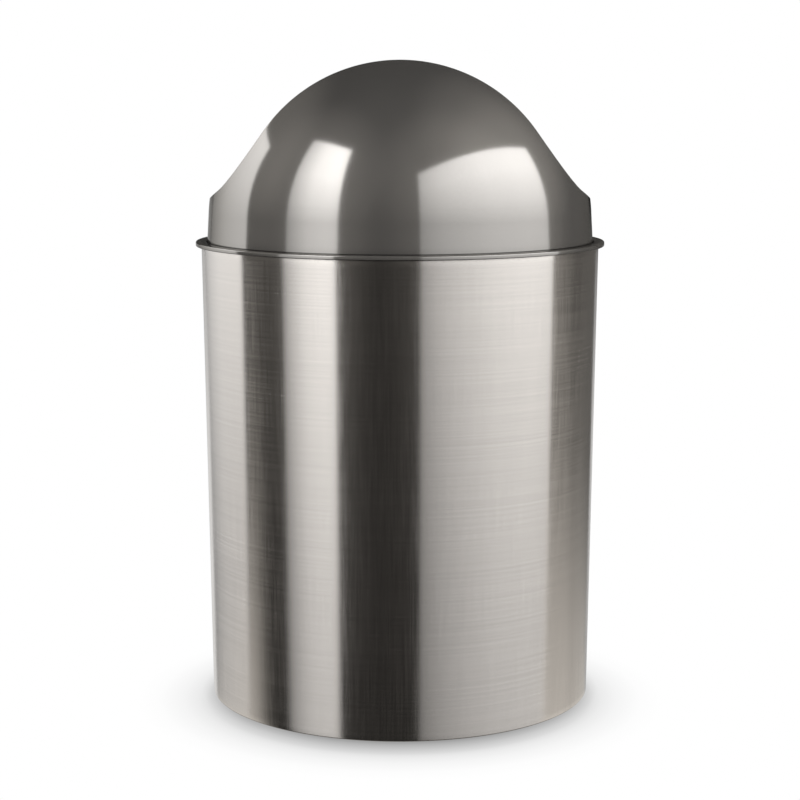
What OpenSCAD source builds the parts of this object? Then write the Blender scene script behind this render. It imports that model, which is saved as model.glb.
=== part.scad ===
// Round waste receptacle with a lift-off dome lid and a swing flap, in millimetres.
// The origin is on the floor, on the receptacle's axis. The front cheek of the dome faces -Y,
// and the two mouths under the flap face -X and +X.

/* [Shell] */
// Height of the rim's top face above the floor
rim_h = 287; // [240:1:340]
// Outer diameter of the shell just under the rim
shell_top_d = 246.8; // [225:0.2:270]
// Outer diameter of the shell at the floor
shell_base_d = 239.2; // [220:0.2:262]
// Thickness of the shell's sheet
shell_t = 0.8; // [0.5:0.05:1.2]
// Height of the folded hem along the shell's bottom edge
hem_h = 6; // [4:0.5:9]
// Height of the shell's bottom edge above the floor
hem_lift = 0.8; // [0.4:0.1:1.6]

/* [Base] */
// Thickness of the base plate
plate_t = 1; // [0.6:0.1:1.6]
// Width of the base plate's raised border
plate_border_w = 4; // [2.5:0.5:8]
// Width of the slope between the base plate's border and its floor
plate_slope_w = 3; // [2:0.5:6]
// Thickness of the rubber foot ring
foot_t = 4; // [2:0.5:5]
// Width of the rubber foot ring
foot_w = 12; // [8:1:20]
// Radius of the foot ring's edges
foot_round = 0.8; // [0.3:0.1:0.9]

/* [Rim ring] */
// How far the rim stands out past the shell
rim_overhang = 3.6; // [2:0.1:6]
// Thickness of the rim
rim_t = 2.6; // [1.8:0.1:4]
// Radius of the rim's outer edges
rim_round = 0.8; // [0.3:0.1:0.85]
// Depth of the ring's leg below the rim
leg_h = 13; // [10:0.5:20]
// Thickness of the ring's leg
leg_t = 1.8; // [1.2:0.1:2.6]
// Depth of the lid's seat below the rim's top face
seat_depth = 9; // [6.5:0.5:11]
// Thickness of the seat
seat_t = 2.4; // [1.6:0.1:3.2]

/* [Inner bucket] */
// Width of the bucket's hanging flange
bucket_flange_w = 5.5; // [4:0.5:9]
// Thickness of the bucket's hanging flange
bucket_flange_t = 2.2; // [1.6:0.1:3]
// Thickness of the bucket's wall
bucket_t = 2; // [1.4:0.1:3]
// Thickness of the bucket's base
bucket_base_t = 2.5; // [1.5:0.1:4]
// Outer diameter of the bucket at its base
bucket_base_d = 200; // [180:1:212]
// Radius of the corner between the bucket's wall and base
bucket_round = 12; // [6:1:20]
// Gap between the bucket's base and the border of the base plate
bucket_lift = 3; // [1:0.5:8]

/* [Dome lid] */
// Wall thickness of the dome and its collar
hood_t = 2; // [1.6:0.1:2.4]
// Wall thickness of the skirt that sits in the rim
skirt_t = 2.4; // [2:0.1:3]
// How far the dome's radius is drawn in from the foot of the collar
dome_setin = 0.85; // [0.7:0.05:2]
// Height of the dome's centre above the rim
dome_rise = 11; // [7:0.5:14]
// Angle above the dome's centre at which the collar meets the dome
join_angle = 2.4; // [1.5:0.1:4]
// Width of the mouth that runs over the dome
mouth_w = 131.4; // [110:0.2:138]
// Height of the mouth's sill above the dome's centre
sill_rise = 15.4; // [10:0.2:20]
// Radius of the mouth's lower corners
mouth_corner_r = 37.2; // [28:0.2:40]
// How far the sill bows down between the mouth's corners
sill_bow = 4.4; // [2:0.2:8]

/* [Flap] */
// Gap between the flap and the edges of the mouth
flap_gap = 1; // [0.8:0.1:2]
// How far the flap lies below the edges of the cheeks
flap_recess = 2.2; // [1.9:0.1:3]
// Wall thickness of the flap and its ears
flap_t = 2; // [1.5:0.1:2.5]
// Depth of the pivot below the flap's crest
pivot_drop = 18; // [15:0.5:22]
// Depth of the ears' lower edge below the pivot
ear_drop = 19; // [12:0.5:24]
// Radius of the outward flare of the flap's tongues
flare_r = 155; // [140:1:180]
// Angle from the crest at which each tongue starts to flare
flare_angle = 57; // [54:0.5:60]
// Swing of the flap from rest to each stop
swing = 50; // [35:1:55]

/* [Flap weights] */
// Length of a weight bar
weight_l = 60; // [40:1:66]
// Height of a weight bar
weight_h = 10; // [8:0.5:12]
// Thickness of a weight bar
weight_t = 5; // [3:0.5:7]
// Height of a weight bar's bosses above the sill
weight_rise = 12; // [10:0.5:16]
// Distance between a bar's two screws
screw_pitch = 40; // [24:1:48]
// Height of the bosses that carry a bar
weight_boss_h = 4; // [3:0.5:6]
// Outer diameter of the bosses that carry a bar
weight_boss_d = 7; // [6:0.5:8]
// Diameter of the screws
screw_d = 2.6; // [2:0.1:3.2]
// Diameter of the screw heads
screw_head_d = 5.6; // [4.6:0.1:6.4]
// Height of the screw heads
screw_head_h = 1.9; // [1.2:0.1:2.5]
// Depth of a screw's end inside its boss
screw_bite = 3.4; // [2.4:0.2:3.6]
// Width of the slot in a screw head
screw_slot_w = 0.8; // [0.5:0.1:1]

/* [Pivot] */
// Diameter of the pivot pins
pin_d = 5; // [4:0.1:6]
// Diameter of a pin's head
pin_head_d = 8.5; // [7.5:0.5:10]
// Thickness of a pin's head
pin_head_t = 1.6; // [1:0.1:2.5]
// Depth of a pin in its bush
pin_bite = 9; // [6:0.5:9.5]
// Length of the ear's boss behind the ear
ear_boss_l = 6; // [4:0.5:8]
// Outer diameter of the ear's boss
ear_boss_d = 11; // [9.5:0.5:13]
// Outer diameter of a bush
bush_d = 9; // [8:0.5:10]
// Length of a bush inside its boss
bush_l = 10; // [8:0.5:11]
// Diameter of a bush's flange
bush_flange_d = 13; // [12:0.5:14]
// Thickness of a bush's flange
bush_flange_t = 1.2; // [0.8:0.1:1.6]
// Outer diameter of the lid's pivot bosses
boss_d = 14; // [13:0.5:15]
// Outer diameter of a retaining clip
clip_d = 9; // [8:0.5:10]
// Thickness of a retaining clip
clip_t = 0.7; // [0.5:0.05:0.9]
// Depth of the clip's groove in the pin
clip_groove = 0.6; // [0.4:0.05:0.8]
// Outer diameter of a thrust washer
washer_d = 11; // [10:0.5:12]
// Thickness of a thrust washer
washer_t = 0.8; // [0.5:0.05:1]

/* [Stops] */
// Thickness of the web between a pivot boss and its stop
web_t = 3; // [2:0.5:4]
// Diameter of a stop peg
peg_d = 6; // [5:0.5:7]
// Wall thickness of a rubber stop sleeve
sleeve_t = 1.5; // [1:0.1:2]
// How far a stop peg reaches behind the outer face of the ear
peg_reach = 4.5; // [3:0.5:6]

/* [Clearances] */
// Gap round a piece that lifts out
lift_gap = 0.4; // [0.3:0.05:0.6]
// Gap between pieces of one assembly that are fitted together
seat_gap = 0.05; // [0.03:0.01:0.1]
// Gap between the base plate's edge and the shell
edge_gap = 0.2; // [0.1:0.05:0.4]
// Radial clearance of a pin in its bush
run_gap = 0.06; // [0.03:0.01:0.09]
// End clearance between the rings on a pin
end_gap = 0.2; // [0.15:0.05:0.3]

/* [Hidden] */
$fn = 96;
// Overrun of every cut past the face that it opens
over = 1;
// Steps in a quarter round of an outline
round_steps = 6;
// Steps in each corner and in each half of the sill of the mouth's outline
mouth_steps = 12;

// Shell
shell_top_z = rim_h - rim_t;
function shell_r(z) = shell_base_d / 2 + (shell_top_d - shell_base_d) / 2 * z / shell_top_z;
hem_t = 2 * shell_t;
hem_top_z = hem_lift + hem_h;

// Base
plate_r = min(shell_r(hem_top_z), shell_r(hem_top_z + plate_t)) - shell_t - edge_gap;
plate_floor_r = plate_r - plate_border_w - plate_slope_w;
foot_r = plate_floor_r - edge_gap;

// Rim ring
rim_r = shell_top_d / 2 + rim_overhang;
leg_z = shell_top_z - leg_h;
leg_r = min(shell_r(leg_z), shell_r(shell_top_z)) - shell_t - lift_gap;
rim_bore_r = leg_r - leg_t;
seat_z = rim_h - seat_depth;

// Inner bucket
skirt_r = rim_bore_r - lift_gap;
bucket_flange_r = skirt_r - skirt_t - lift_gap;
bucket_top_r = bucket_flange_r - bucket_flange_w;
bucket_base_z = hem_top_z + plate_t + bucket_lift;
bucket_base_r = min(bucket_base_d / 2, bucket_top_r);
seat_bore_r = bucket_top_r + lift_gap;

// Dome lid
dome_r = skirt_r - dome_setin;
dome_z = rim_h + dome_rise;
mouth_half_w = mouth_w / 2;
cheek_edge_r = sqrt(pow(dome_r, 2) - pow(mouth_half_w, 2));
sill_z = dome_z + sill_rise;
corner_z = sill_z + sill_bow + mouth_corner_r;
corner_y = mouth_half_w - mouth_corner_r;
corner_h = corner_z - sill_z;
sill_r = (pow(corner_y, 2) + pow(corner_h, 2) - pow(mouth_corner_r, 2)) / (2 * (corner_h - mouth_corner_r));
corner_angle = atan2(sill_r - corner_h, corner_y);
mouth_top_z = dome_z + dome_r + over;

// Flap
flap_r = cheek_edge_r - flap_recess;
flap_in_r = flap_r - flap_t;
flap_half_w = mouth_half_w - flap_gap;
pivot_z = dome_z + flap_r - pivot_drop;
ear_z = pivot_z - ear_drop;
ear_in_y = flap_half_w - flap_t;
ear_boss_y = ear_in_y - ear_boss_l;
flare_x = (cheek_edge_r + flare_r) * sin(flare_angle);
flare_z = (cheek_edge_r + flare_r) * cos(flare_angle);
flare_end_angle = acos((flare_z - sill_rise + over) / flare_r);

// Rings on the pins, from the ear outwards
clip_y = flap_half_w + end_gap;
washer_y = clip_y + clip_t + end_gap;
bush_y = washer_y + washer_t + end_gap;
boss_y = bush_y + bush_flange_t;
boss_bore_l = bush_l + end_gap;
pin_end_y = boss_y + pin_bite;

// Stops
stop_r = peg_d / 2 + sleeve_t;
stop_drop = (ear_drop + stop_r) / cos(swing);
stop_z = pivot_z - stop_drop;
peg_y = flap_half_w - peg_reach;

// Flap weights
tongue_in_r = flare_r + flap_recess + flap_t;
weight_angle = acos((flare_z - sill_rise - weight_rise) / tongue_in_r);
weight_out_r = tongue_in_r + weight_boss_h;
weight_in_r = weight_out_r + weight_t;

// Points along an arc, from one angle to another
function arc(centre, r, from, to, steps) = [
    for (i = [0 : steps])
        centre + r * [cos(from + (to - from) * i / steps), sin(from + (to - from) * i / steps)]
];

// Outline of the mouth seen from the side, drawn in by a gap all round
function mouth_outline(gap) = concat(
    arc([corner_y, corner_z], mouth_corner_r - gap, 0, -corner_angle, mouth_steps),
    arc([0, sill_z + sill_r], sill_r - gap, -corner_angle, corner_angle - 180, 2 * mouth_steps),
    arc([-corner_y, corner_z], mouth_corner_r - gap, corner_angle - 180, -180, mouth_steps),
    [[gap - mouth_half_w, mouth_top_z], [mouth_half_w - gap, mouth_top_z]]
);

// Half of the flap's profile seen from the front, drawn in from the cheeks' edges by a depth
function flap_half_profile(depth) = concat(
    arc([0, 0], cheek_edge_r - depth, 90, 90 - flare_angle, mouth_steps),
    arc([flare_x, flare_z], flare_r + depth, 270 - flare_angle, 270 - flare_end_angle, mouth_steps)
);

// The same points in the other order
function backwards(points) = [for (i = [len(points) - 1 : -1 : 0]) points[i]];

// The points mirrored to the left
function to_left(points) = [for (point = points) [-point[0], point[1]]];

// The mouth's outline as a block that runs through the dome from side to side
module mouth_block(gap) {
    rotate([90, 0, 90])
        linear_extrude(height = 2 * (dome_r + over), center = true)
            polygon(mouth_outline(gap));
}

// A cylinder that lies along Y, from one place to another
module rod_y(r, from, to) {
    translate([0, from, 0])
        rotate([-90, 0, 0])
            cylinder(r = r, h = to - from);
}

// Children at the front, turned half round the axis
module at_front() {
    rotate([0, 0, 180])
        children();
}

// Thin sheet sleeve with its bottom edge folded inwards into a hem
module outer_shell() {
    hem_r = shell_r(hem_lift);
    color([0.72, 0.71, 0.69])
        rotate_extrude()
            polygon(concat(
                [[shell_r(shell_top_z), shell_top_z], [shell_r(shell_top_z) - shell_t, shell_top_z]],
                [[shell_r(hem_top_z) - shell_t, hem_top_z], [shell_r(hem_top_z) - hem_t, hem_top_z]],
                arc([hem_r - shell_t, hem_lift + shell_t], shell_t, 180, 360, 2 * round_steps)
            ));
}

// Pressed pan whose raised border lies on the hem
module base_plate() {
    color([0.55, 0.55, 0.56])
        rotate_extrude()
            polygon([
                [0, foot_t],
                [plate_floor_r, foot_t],
                [plate_floor_r + plate_slope_w, hem_top_z],
                [plate_r, hem_top_z],
                [plate_r, hem_top_z + plate_t],
                [plate_floor_r + plate_slope_w, hem_top_z + plate_t],
                [plate_floor_r, foot_t + plate_t],
                [0, foot_t + plate_t]
            ]);
}

// Rubber ring under the base plate
module foot_ring() {
    color([0.12, 0.12, 0.12])
        rotate_extrude()
            polygon(concat(
                [[foot_r, foot_t], [foot_r - foot_w, foot_t]],
                arc([foot_r - foot_w + foot_round, foot_round], foot_round, 180, 270, round_steps),
                arc([foot_r - foot_round, foot_round], foot_round, 270, 360, round_steps)
            ));
}

// Rim with a leg inside the shell and a seat for the bucket and the lid
module rim_ring() {
    color([0.33, 0.31, 0.29])
        rotate_extrude()
            polygon(concat(
                [[rim_bore_r, rim_h], [rim_bore_r, seat_z], [seat_bore_r, seat_z]],
                [[seat_bore_r, seat_z - seat_t], [rim_bore_r, seat_z - seat_t]],
                [[rim_bore_r, leg_z], [leg_r, leg_z], [leg_r, shell_top_z]],
                arc([rim_r - rim_round, shell_top_z + rim_round], rim_round, -90, 0, round_steps),
                arc([rim_r - rim_round, rim_h - rim_round], rim_round, 0, 90, round_steps)
            ));
}

// Tapered bucket that hangs in the rim ring by its flange
module inner_bucket() {
    base_in_z = bucket_base_z + bucket_base_t;
    flange_top_z = seat_z + bucket_flange_t;
    color([0.2, 0.2, 0.21])
        rotate_extrude()
            polygon(concat(
                [[0, bucket_base_z]],
                arc([bucket_base_r - bucket_round, bucket_base_z + bucket_round], bucket_round,
                    270, 360, round_steps),
                [[bucket_top_r, seat_z], [bucket_flange_r, seat_z], [bucket_flange_r, flange_top_z]],
                [[bucket_top_r - bucket_t, flange_top_z]],
                arc([bucket_base_r - bucket_round, base_in_z + bucket_round - bucket_t],
                    bucket_round - bucket_t, 360, 270, round_steps),
                [[0, base_in_z]]
            ));
}

// Solid of the lid's outer form, drawn in by a wall, from the rim up
module dome_form(wall) {
    form_r = dome_r - wall;
    foot_r = skirt_r - wall;
    join_r = form_r * cos(join_angle);
    join_h = dome_rise + form_r * sin(join_angle);
    translate([0, 0, dome_z])
        intersection() {
            sphere(r = form_r);
            cylinder(r = form_r + over, h = form_r + over);
        }
    translate([0, 0, rim_h])
        cylinder(r1 = foot_r, r2 = join_r - (foot_r - join_r) * over / join_h, h = join_h + over);
}

// Boss, web and stop peg inside the rear cheek
module pivot_lug() {
    translate([0, 0, dome_z])
        intersection() {
            sphere(r = dome_r - hood_t / 2);
            translate([0, 0, -dome_z])
                union() {
                    translate([0, 0, pivot_z])
                        rod_y(boss_d / 2, boss_y, dome_r);
                    translate([-web_t / 2, boss_y + over / 2, stop_z - stop_r])
                        cube([web_t, dome_r, stop_drop + stop_r]);
                    translate([0, 0, stop_z])
                        rod_y(peg_d / 2, peg_y, boss_y + boss_bore_l);
                }
        }
}

// Collar, front cheek and rear cheek in one moulding
module dome_hood() {
    color([0.33, 0.31, 0.29])
        difference() {
            union() {
                difference() {
                    union() {
                        dome_form(0);
                        translate([0, 0, seat_z])
                            cylinder(r = skirt_r, h = rim_h - seat_z);
                    }
                    dome_form(hood_t);
                    translate([0, 0, seat_z - over])
                        cylinder(r = skirt_r - skirt_t, h = seat_depth + over);
                    mouth_block(0);
                }
                pivot_lug();
                at_front()
                    pivot_lug();
            }
            pivot_bore();
            at_front()
                pivot_bore();
        }
}

// Blind hole for a bush
module pivot_bore() {
    translate([0, 0, pivot_z])
        rod_y(bush_d / 2 + seat_gap, boss_y - over, boss_y + boss_bore_l);
}

// Flanged bush at the rear
module pivot_bush() {
    color([0.88, 0.87, 0.82])
        translate([0, 0, pivot_z])
            difference() {
                union() {
                    rod_y(bush_flange_d / 2, bush_y, boss_y);
                    rod_y(bush_d / 2, boss_y, boss_y + bush_l);
                }
                rod_y(pin_d / 2 + run_gap, bush_y - over, boss_y + bush_l + over);
            }
}

// Rubber sleeve on the rear stop peg
module stop_sleeve() {
    color([0.1, 0.1, 0.1])
        translate([0, 0, stop_z])
            difference() {
                rod_y(stop_r, peg_y + end_gap, boss_y - end_gap);
                rod_y(peg_d / 2 + seat_gap, peg_y, boss_y);
            }
}

// Ear, ear boss and pin hole at the rear of the flap
module flap_ear() {
    difference() {
        union() {
            intersection() {
                translate([0, 0, dome_z])
                    rod_y(flap_r - flap_t / 2, ear_in_y, flap_half_w);
                translate([-flap_r, 0, ear_z])
                    cube([2 * flap_r, mouth_half_w, flap_r]);
            }
            translate([0, 0, pivot_z])
                rod_y(ear_boss_d / 2, ear_boss_y, flap_half_w - flap_t / 2);
        }
        translate([0, 0, pivot_z])
            rod_y(pin_d / 2 + seat_gap, ear_boss_y - over, flap_half_w + over);
    }
}

// Places its children at the weight on the right, with Z pointing in through the tongue
module at_weight() {
    translate([flare_x, 0, dome_z + flare_z])
        rotate([0, 180 + weight_angle, 0])
            children();
}

// Places its children at both screws of the weight on the right
module at_screws() {
    for (side = [-1, 1])
        at_weight()
            translate([0, side * screw_pitch / 2, 0])
                children();
}

// The two bosses that carry the weight on the right, with their screw holes
module weight_bosses() {
    at_screws()
        difference() {
            translate([0, 0, tongue_in_r - flap_t / 2])
                cylinder(d = weight_boss_d, h = flap_t / 2 + weight_boss_h);
            translate([0, 0, weight_out_r - screw_bite - end_gap])
                cylinder(d = screw_d + 2 * seat_gap, h = screw_bite + end_gap + over);
        }
}

// Curved panel with an ear at each end of the pivot and bosses for the weights
module flap_panel() {
    half_out = flap_half_profile(flap_recess);
    half_in = flap_half_profile(flap_recess + flap_t);
    color([0.35, 0.33, 0.31]) {
        intersection() {
            translate([0, mouth_half_w, dome_z])
                rotate([90, 0, 0])
                    linear_extrude(height = mouth_w)
                        polygon(concat(
                            half_out,
                            backwards(half_in),
                            to_left(half_in),
                            to_left(backwards(half_out))
                        ));
            mouth_block(flap_gap);
        }
        flap_ear();
        at_front()
            flap_ear();
        weight_bosses();
        mirror([1, 0, 0])
            weight_bosses();
    }
}

// Headed pin with a groove for its clip, at the rear
module pivot_pin() {
    color([0.75, 0.75, 0.76])
        translate([0, 0, pivot_z])
            difference() {
                union() {
                    rod_y(pin_head_d / 2, ear_boss_y - pin_head_t, ear_boss_y);
                    rod_y(pin_d / 2, ear_boss_y, pin_end_y);
                }
                difference() {
                    rod_y(pin_d, clip_y - seat_gap, clip_y + clip_t + seat_gap);
                    rod_y(pin_d / 2 - clip_groove, clip_y - over, clip_y + clip_t + over);
                }
            }
}

// Open spring clip in the groove of the rear pin
module pin_clip() {
    clip_in_r = pin_d / 2 - clip_groove + seat_gap;
    color([0.5, 0.5, 0.52])
        translate([0, 0, pivot_z])
            difference() {
                rod_y(clip_d / 2, clip_y, clip_y + clip_t);
                rod_y(clip_in_r, clip_y - over, clip_y + clip_t + over);
                translate([-clip_in_r * 0.9, clip_y - over, -clip_d])
                    cube([clip_in_r * 1.8, clip_t + 2 * over, clip_d]);
            }
}

// Nylon washer between the clip and the bush at the rear
module thrust_washer() {
    color([0.9, 0.9, 0.86])
        translate([0, 0, pivot_z])
            difference() {
                rod_y(washer_d / 2, washer_y, washer_y + washer_t);
                rod_y(pin_d / 2 + seat_gap, washer_y - over, washer_y + washer_t + over);
            }
}

// Steel bar inside the right tongue of the flap
module flap_weight() {
    color([0.45, 0.45, 0.46])
        difference() {
            at_weight()
                translate([-weight_h / 2, -weight_l / 2, weight_out_r])
                    cube([weight_h, weight_l, weight_t]);
            at_screws()
                translate([0, 0, weight_out_r - over])
                    cylinder(d = screw_d + 2 * seat_gap, h = weight_t + 2 * over);
        }
}

// Two slotted screws through the right weight
module weight_screws() {
    color([0.7, 0.7, 0.71])
        at_screws()
            difference() {
                union() {
                    translate([0, 0, weight_in_r])
                        cylinder(d = screw_head_d, h = screw_head_h);
                    translate([0, 0, weight_out_r - screw_bite])
                        cylinder(d = screw_d, h = screw_bite + weight_t + screw_head_h / 2);
                }
                translate([-screw_head_d, -screw_slot_w / 2, weight_in_r + screw_head_h / 2])
                    cube([2 * screw_head_d, screw_slot_w, screw_head_h]);
            }
}

outer_shell();
base_plate();
foot_ring();
rim_ring();
inner_bucket();
dome_hood();
at_front() pivot_bush();  // pivot_bush_front
pivot_bush();  // pivot_bush_rear
at_front() stop_sleeve();  // stop_sleeve_front
stop_sleeve();  // stop_sleeve_rear
flap_panel();
at_front() pivot_pin();  // pivot_pin_front
pivot_pin();  // pivot_pin_rear
at_front() pin_clip();  // pin_clip_front
pin_clip();  // pin_clip_rear
at_front() thrust_washer();  // thrust_washer_front
thrust_washer();  // thrust_washer_rear
mirror([1, 0, 0]) flap_weight();  // flap_weight_left
flap_weight();  // flap_weight_right
mirror([1, 0, 0]) weight_screws();  // weight_screws_left
weight_screws();  // weight_screws_right
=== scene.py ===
"""Dome top waste receptacle: brushed sheet shell, lift-out bucket, dome lid and swing flap.

Every length is in metres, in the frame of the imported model: +Z up, the origin on the floor on the
receptacle's axis, -Y towards the camera. Sizes that the frame knows are read from its nodes, and the
class that uses a size of its own names it among its fields.
"""

import logging
import math
from collections.abc import Iterable, Sequence
from dataclasses import dataclass, field, replace
from enum import Enum
from typing import ClassVar

import bmesh
import bpy
import numpy as np
from mathutils import Matrix, Vector


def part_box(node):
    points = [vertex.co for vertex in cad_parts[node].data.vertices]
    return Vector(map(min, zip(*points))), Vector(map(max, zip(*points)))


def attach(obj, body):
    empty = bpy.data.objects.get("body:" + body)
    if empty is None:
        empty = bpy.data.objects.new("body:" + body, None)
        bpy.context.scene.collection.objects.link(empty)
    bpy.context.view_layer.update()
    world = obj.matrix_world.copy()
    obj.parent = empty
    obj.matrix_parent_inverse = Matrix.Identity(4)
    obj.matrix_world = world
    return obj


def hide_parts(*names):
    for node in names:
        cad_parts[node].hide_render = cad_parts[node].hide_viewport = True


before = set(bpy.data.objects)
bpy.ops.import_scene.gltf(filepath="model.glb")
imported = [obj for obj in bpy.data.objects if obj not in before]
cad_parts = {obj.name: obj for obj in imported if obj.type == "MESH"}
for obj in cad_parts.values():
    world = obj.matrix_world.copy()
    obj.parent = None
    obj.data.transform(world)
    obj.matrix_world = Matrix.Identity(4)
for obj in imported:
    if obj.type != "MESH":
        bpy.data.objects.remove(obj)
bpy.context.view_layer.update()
LOG = logging.getLogger("receptacle")

MM = 0.001
MERGE = 0.004 * MM
AXIS_STEPS = 256
FOLD_STEPS = 12
EDGE_STEPS = 6
LIP_STEPS = 4
NOISE_RANGE = (0.3, 0.7)
WHITE = (1.0, 1.0, 1.0)
Point = tuple[float, float]
Triple = tuple[float, float, float]
Socket = bpy.types.NodeSocket
Mesh = bpy.types.Mesh


class Body(Enum):
    """Bodies of the frame that pieces ride on."""

    CAN = "can"
    BUCKET = "bucket"
    LID = "lid"
    FLAP = "flap"


class Slot(Enum):
    """Material slots of the record."""

    SHELL = "shell_steel"
    BASE = "base_steel"
    FOOT = "foot_rubber"
    LID = "lid_finish"
    BUCKET = "bucket_plastic"
    NYLON = "nylon"
    STOP = "stop_rubber"
    PIN = "pin_steel"
    SPRING = "spring_steel"
    WEIGHT = "weight_steel"


class Side(Enum):
    """Sign of Y at the two cheeks of the lid."""

    FRONT = -1
    REAR = 1

    def half_turn(self) -> Matrix:
        """Turns a shape that was made at the rear to this side."""
        return Matrix.Rotation(0.0 if self is Side.REAR else math.pi, 4, "Z")


class NodeGraph:
    """Fills one node tree."""

    prefix: ClassVar[str] = ""

    def __init__(self, tree: bpy.types.NodeTree) -> None:
        """Clears the tree that it fills."""
        self.tree = tree
        tree.nodes.clear()

    def add(self, kind: str, inputs: dict | None = None, **settings: object) -> bpy.types.Node:
        """Adds one node.

        Args:
            kind: the node's type name, without the graph's prefix.
            inputs: socket name or number to a value or to the socket that feeds it.
            settings: attributes of the node.

        Returns:
            The new node.
        """
        node = self.tree.nodes.new(self.prefix + kind)
        for key, value in settings.items():
            setattr(node, key, value)
        for key, value in (inputs or {}).items():
            if isinstance(value, Socket):
                self.tree.links.new(value, node.inputs[key])
            else:
                node.inputs[key].default_value = value
        return node


class ShaderGraph(NodeGraph):
    """Fills the node tree of a material or world."""

    prefix = "ShaderNode"

    def place(self) -> Socket:
        """The shaded point in object coordinates."""
        return self.add("TexCoord").outputs["Object"]

    def axis(self, name: str, place: Socket) -> Socket:
        """One coordinate of a place."""
        return self.add("SeparateXYZ", {"Vector": place}).outputs[name]

    def math(self, operation: str, *values: Socket | float) -> Socket:
        """The result of an operation on values."""
        return self.add("Math", dict(enumerate(values)), operation=operation).outputs["Value"]

    def vector(self, operation: str, output: str, *values: Socket | Triple) -> Socket:
        """The named output of an operation on vectors."""
        return self.add("VectorMath", dict(enumerate(values)), operation=operation).outputs[output]

    def product(self, first: Socket, *others: Socket | float) -> Socket:
        """The product of several values.

        Args:
            first: the first value.
            others: the values that it is multiplied by, in order.

        Returns:
            The product's socket.
        """
        for other in others:
            first = self.math("MULTIPLY", first, other)
        return first

    def mapped(self, value: Socket, given: Point, result: Point, way: str = "LINEAR") -> Socket:
        """Maps one range to another and holds its ends beyond them.

        Args:
            value: what is mapped.
            given: first and last value of its range.
            result: what these two become.
            way: the kind of interpolation between them.

        Returns:
            The mapped value's socket.
        """
        ends = dict(zip(("From Min", "From Max", "To Min", "To Max"), (*given, *result)))
        return self.add("MapRange", {"Value": value, **ends}, interpolation_type=way).outputs["Result"]

    def eased(self, value: Socket, start: float, end: float, high: float = 1.0, low: float = 0.0) -> Socket:
        """A smooth step from low at start to high at end."""
        return self.mapped(value, (start, end), (low, high), "SMOOTHSTEP")

    def spread(self, noise: Socket, low: float, high: float) -> Socket:
        """Maps the range in which a noise mostly lies to low..high."""
        return self.mapped(noise, NOISE_RANGE, (low, high))

    def swing(self, noise: Socket, middle: float, half: float) -> Socket:
        """A value that a noise swings about its middle by half its range."""
        return self.spread(noise, middle - half, middle + half)

    def stretched_noise(self, scale: Triple, detail: float = 3.0) -> Socket:
        """Noise in object coordinates, stretched along the axes with the smaller scales.

        Args:
            scale: features per metre along X, Y and Z.
            detail: octaves of the noise.

        Returns:
            The noise's value socket.
        """
        stretched = self.add("Mapping", {"Vector": self.place(), "Scale": scale}).outputs["Vector"]
        noise = self.add("TexNoise", {"Vector": stretched, "Scale": 1.0, "Detail": detail})
        return noise.outputs[0]

    def tinted(self, colour: Triple, bright: Socket) -> Socket:
        """A colour that is dimmed by a brightness socket."""
        scaled = self.add("VectorMath", {0: colour, "Scale": bright}, operation="SCALE")
        return scaled.outputs["Vector"]

    def bump(self, height: Socket, strength: float, depth: float) -> Socket:
        """The normal of a surface with relief."""
        relief = self.add("Bump", {"Height": height, "Strength": strength, "Distance": depth})
        return relief.outputs["Normal"]

    def curve(self, value: Socket, stops: Sequence[Point]) -> Socket:
        """A curve of straight lines between stops, level beyond them.

        Args:
            value: what drives the curve.
            stops: value and result of each stop, in order.

        Returns:
            The result's socket.
        """
        first, last = stops[0][0], stops[-1][0]
        ramp = self.add("ValToRGB", {"Fac": self.mapped(value, (first, last), (0.0, 1.0))})
        elements = ramp.color_ramp.elements
        while len(elements) < len(stops):
            elements.new(0.5)
        for element, (place, result) in zip(elements, stops):
            element.position = (place - first) / (last - first)
            element.color = (result, result, result, 1.0)
        return ramp.outputs["Color"]

    def background(self, colour: Triple, strength: Socket | float) -> Socket:
        """A glowing background of the world."""
        return self.add("Background", {"Color": (*colour, 1.0), "Strength": strength}).outputs[0]

    def glow(self, strength: Socket) -> None:
        """Makes the material glow white and nothing else."""
        light = self.add("Emission", {"Color": (*WHITE, 1.0), "Strength": strength})
        self.add("OutputMaterial", {"Surface": light.outputs["Emission"]})


def new_material(name: str) -> bpy.types.Material:
    """A new material with a node tree."""
    made = bpy.data.materials.new(name)
    made.use_nodes = True
    return made


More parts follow.
